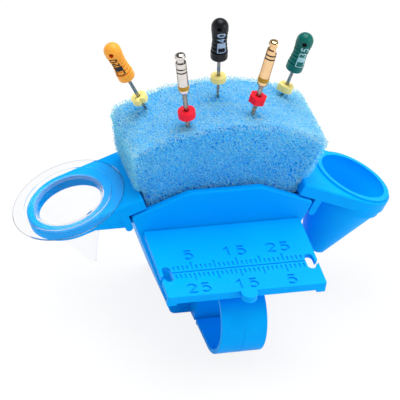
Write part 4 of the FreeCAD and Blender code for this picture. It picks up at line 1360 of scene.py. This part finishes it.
def files_in_foam() -> list[HandFile | EngineFile]:
    """The five files as they stand in the foam."""
    return [
        HandFile(FileInFoam("orange", -15.03, 14.7, -30.0, -28.8, 8.5, 2.33, StopForm.NOTCHED, 1.7, 1.5),
                 Finish.ORANGE_GRIP, Finish.BLACK_INK, Finish.ORANGE_BORE, "20", -22.0, -26.0, length=9.95,
                 barrel=7.05, hole_height=8.2, number_at=6.0),
        HandFile(FileInFoam("black", 0.39, 12.8, -4.2, -4.2, 9.1, 4.25, StopForm.ROUND, 1.65, 1.45),
                 Finish.BLACK_GRIP, Finish.GREY_INK, Finish.DARK_BORE, "40", -20.0, 1.0, length=9.85,
                 barrel=6.95, hole_height=8.3),
        HandFile(FileInFoam("green", 16.0, 15.5, 15.5, 14.0, 6.2, 1.75, StopForm.TEARDROP, 1.58, 1.65),
                 Finish.GREEN_GRIP, Finish.PALE_INK, Finish.DARK_BORE, "35", -20.0, 4.0, length=9.3,
                 foot=1.9, barrel=6.5, hole_height=7.3, number_at=6.0, print_drop=0.6),
        EngineFile(FileInFoam("silver", -8.57, 4.3, -11.0, -11.0, 7.75, 2.6, StopForm.ROUND, 1.85, 1.8, 0.56),
                   Finish.SILVER, "silver_metal", length=10.15),
        EngineFile(FileInFoam("gold", 6.24, 5.9, 9.3, 9.3, 6.62, 3.42, StopForm.HEXAGON, 1.94, 1.75, 0.56,
                              stop_turn=30.0, stop_nod=4.0),
                   Finish.GOLD, "gold_metal", length=11.15, flat_length=2.95, turn=-100.0,
                   rings=(6.95, 7.85))]


# Clear cup.

@dataclass
class ClearCup:
    """Thin clear cup with a wide flange, hung in the left arm's ring."""

    reach: float = 28.0
    across: float = 9.8
    seat: float = 14.3
    wall: float = 0.4
    flange: float = 12.4
    step: float = 9.7
    bead: float = 0.2
    neck: float = 7.7
    tip: float = 0.8
    depth: float = 17.7
    turns: int = 160

    def build(self) -> None:
        """Makes the cup as one turned wall: out under the flange, round its rim, in and down inside."""
        low = self.seat - self.depth
        corner = self.wall * 0.4
        profile = np.array([
            (0.0, low), (self.tip - corner, low), (self.tip, low + corner), (self.neck - 0.05, self.seat - 0.1),
            (self.neck + 0.1, self.seat), (self.flange - corner, self.seat), (self.flange, self.seat + corner),
            (self.flange, self.seat + self.wall - corner), (self.flange - corner, self.seat + self.wall),
            (self.step, self.seat + self.wall), (self.step, self.seat + self.wall + self.bead),
            (self.neck + 0.2, self.seat + self.wall + self.bead),
            (self.neck - 0.1, self.seat + self.wall + 0.1),
            (self.neck - self.wall - 0.25, self.seat - 0.4), (self.tip - self.wall / 2, low + self.wall),
            (0.0, low + self.wall)])
        turns = self.turns
        points = turned(revolve(profile, turns) + (-self.reach, self.across, 0.0), 0, 2, TILT)
        rim = np.zeros(len(profile) - 1, dtype=int)
        # The flange's edge and step take the grey tint: painted shade along the rim.
        rim[[5, 6, 7, 9]] = 1
        # The upper inner wall takes the milky tint: painted highlight on the lip.
        rim[12] = 2
        finishes = [finish.material() for finish in (Finish.CLEAR_CUP, Finish.CLEAR_RIM, Finish.CLEAR_LIP)]
        cup = mesh_piece("clear_gel_cup", points, grid_faces(len(profile), turns), finishes,
                         np.repeat(rim, turns))
        dressed(cup, "gel_cup_carrier", "clear_cup", "gel_cup")


# Studio.

@dataclass
class Studio:
    """Camera, pale floor and soft light."""

    location: tuple[float, float, float] = (-205.865, -542.451, 426.259)
    azimuth: float = -19.827
    elevation: float = 34.479
    roll: float = 6.502
    lens: float = 306.3
    floor_height: float = -9.12
    floor_white: float = 0.88
    lamps: tuple[tuple[str, tuple[float, float, float], float, float], ...] = (
        ("top_lamp", (0.12, 0.2, 0.93), 0.8, 9.3), ("right_lamp", (0.65, -0.45, 0.35), 0.5, 1.6))
    ambient: float = 0.53

    def build(self) -> None:
        """Sets up the scene's view, camera, floor, lamps and world."""
        bpy.context.scene.view_settings.view_transform = "Standard"
        self.camera()
        self.floor()
        self.world()
        for lamp in self.lamps:
            self.lamp(*lamp)

    def camera(self) -> None:
        """Places the camera at the photograph's viewing angle."""
        azimuth, elevation, roll = (math.radians(angle) for angle in (self.azimuth, self.elevation, self.roll))
        level = Vector((math.cos(azimuth), math.sin(azimuth), 0.0))
        back = Vector((math.sin(azimuth) * math.cos(elevation), -math.cos(azimuth) * math.cos(elevation),
                       math.sin(elevation)))
        rise = back.cross(level)
        right = math.cos(roll) * level + math.sin(roll) * rise
        up = math.cos(roll) * rise - math.sin(roll) * level
        camera = linked("Camera", bpy.data.cameras.new("Camera"))
        turn = Matrix((right, up, back)).transposed().to_4x4()
        camera.matrix_world = Matrix.Translation(Vector(self.location) * MILLIMETRE) @ turn
        camera.data.lens = self.lens
        camera.data.sensor_width = 36.0
        bpy.context.scene.camera = camera

    def floor(self) -> None:
        """Pale floor that is white to the camera and keeps a faint shadow."""
        height = self.floor_height * MILLIMETRE
        mesh = bpy.data.meshes.new("floor")
        corners = np.array([(-4, -4, height), (4, -4, height), (4, 4, height), (-4, 4, height)], np.float32)
        mesh.from_pydata(corners.tolist(), [], [(0, 1, 2, 3)])
        floor = linked("floor", mesh)
        nodes = Shading("pale_floor")
        nodes.set(Base_Color=(0.86, 0.86, 0.86, 1.0), Roughness=0.9, Specular_IOR_Level=0.0)
        white = nodes.node("Emission", {"Color": WHITE, "Strength": 1.0}).outputs[0]
        seen = nodes.direct("Is Camera Ray", "Is Glossy Ray", "Is Transmission Ray")
        nodes.cover(nodes.math("MULTIPLY", seen, self.floor_white), white)
        mesh.materials.append(nodes.material)

    def world(self) -> None:
        """Even soft light, a white backdrop behind the floor's edge, and a darker room above it in mirrors."""
        world = bpy.data.worlds.new("studio")
        bpy.context.scene.world = world
        world.use_nodes = True
        world.node_tree.nodes.clear()
        nodes = Nodes(world.node_tree)
        height = nodes.node("SeparateXYZ", {0: nodes.node("TexCoord").outputs["Generated"]}).outputs["Z"]
        fading = nodes.span(height, 0.85, 0.06, 0.05, 0.55)
        light, room, white = (nodes.node("Background", {"Color": WHITE, "Strength": strength}).outputs[0]
                              for strength in (self.ambient, fading, 1.0))
        mirrored = nodes.mix(nodes.node("LightPath").outputs["Is Glossy Ray"], light, room)
        seen = nodes.direct("Is Camera Ray", "Is Transmission Ray")
        nodes.node("OutputWorld", {"Surface": nodes.mix(seen, mirrored, white)})

    def lamp(self, name: str, place: tuple[float, float, float], size: float, power: float) -> None:
        """Square soft lamp that faces the object.

        Args:
            name: Name of the lamp.
            place: Its place in metres.
            size: Side of the square in metres.
            power: Power in watts.
        """
        light = bpy.data.lights.new(name, "AREA")
        light.shape, light.size, light.energy = "SQUARE", size, power
        lamp = linked(name, light)
        lamp.location = place
        lamp.rotation_euler = (-Vector(place)).to_track_quat("-Z", "Y").to_euler()


def main() -> None:
    """Builds the camera and studio, then every piece."""
    logging.basicConfig(level=logging.INFO, format="%(message)s")
    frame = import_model()
    Studio().build()
    Mouldings(frame).build()
    files = files_in_foam()
    FoamBlock(bores=[file.stand.entry() for file in files]).build()
    for file in files:
        file.build()
        blade = frame["nodes"][f"{file.stand.name}_blade"]
        blade.data.materials.clear()
        blade.data.materials.append(Finish.STEEL.material())
    ClearCup().build()


if __name__ == "__main__":
    main()
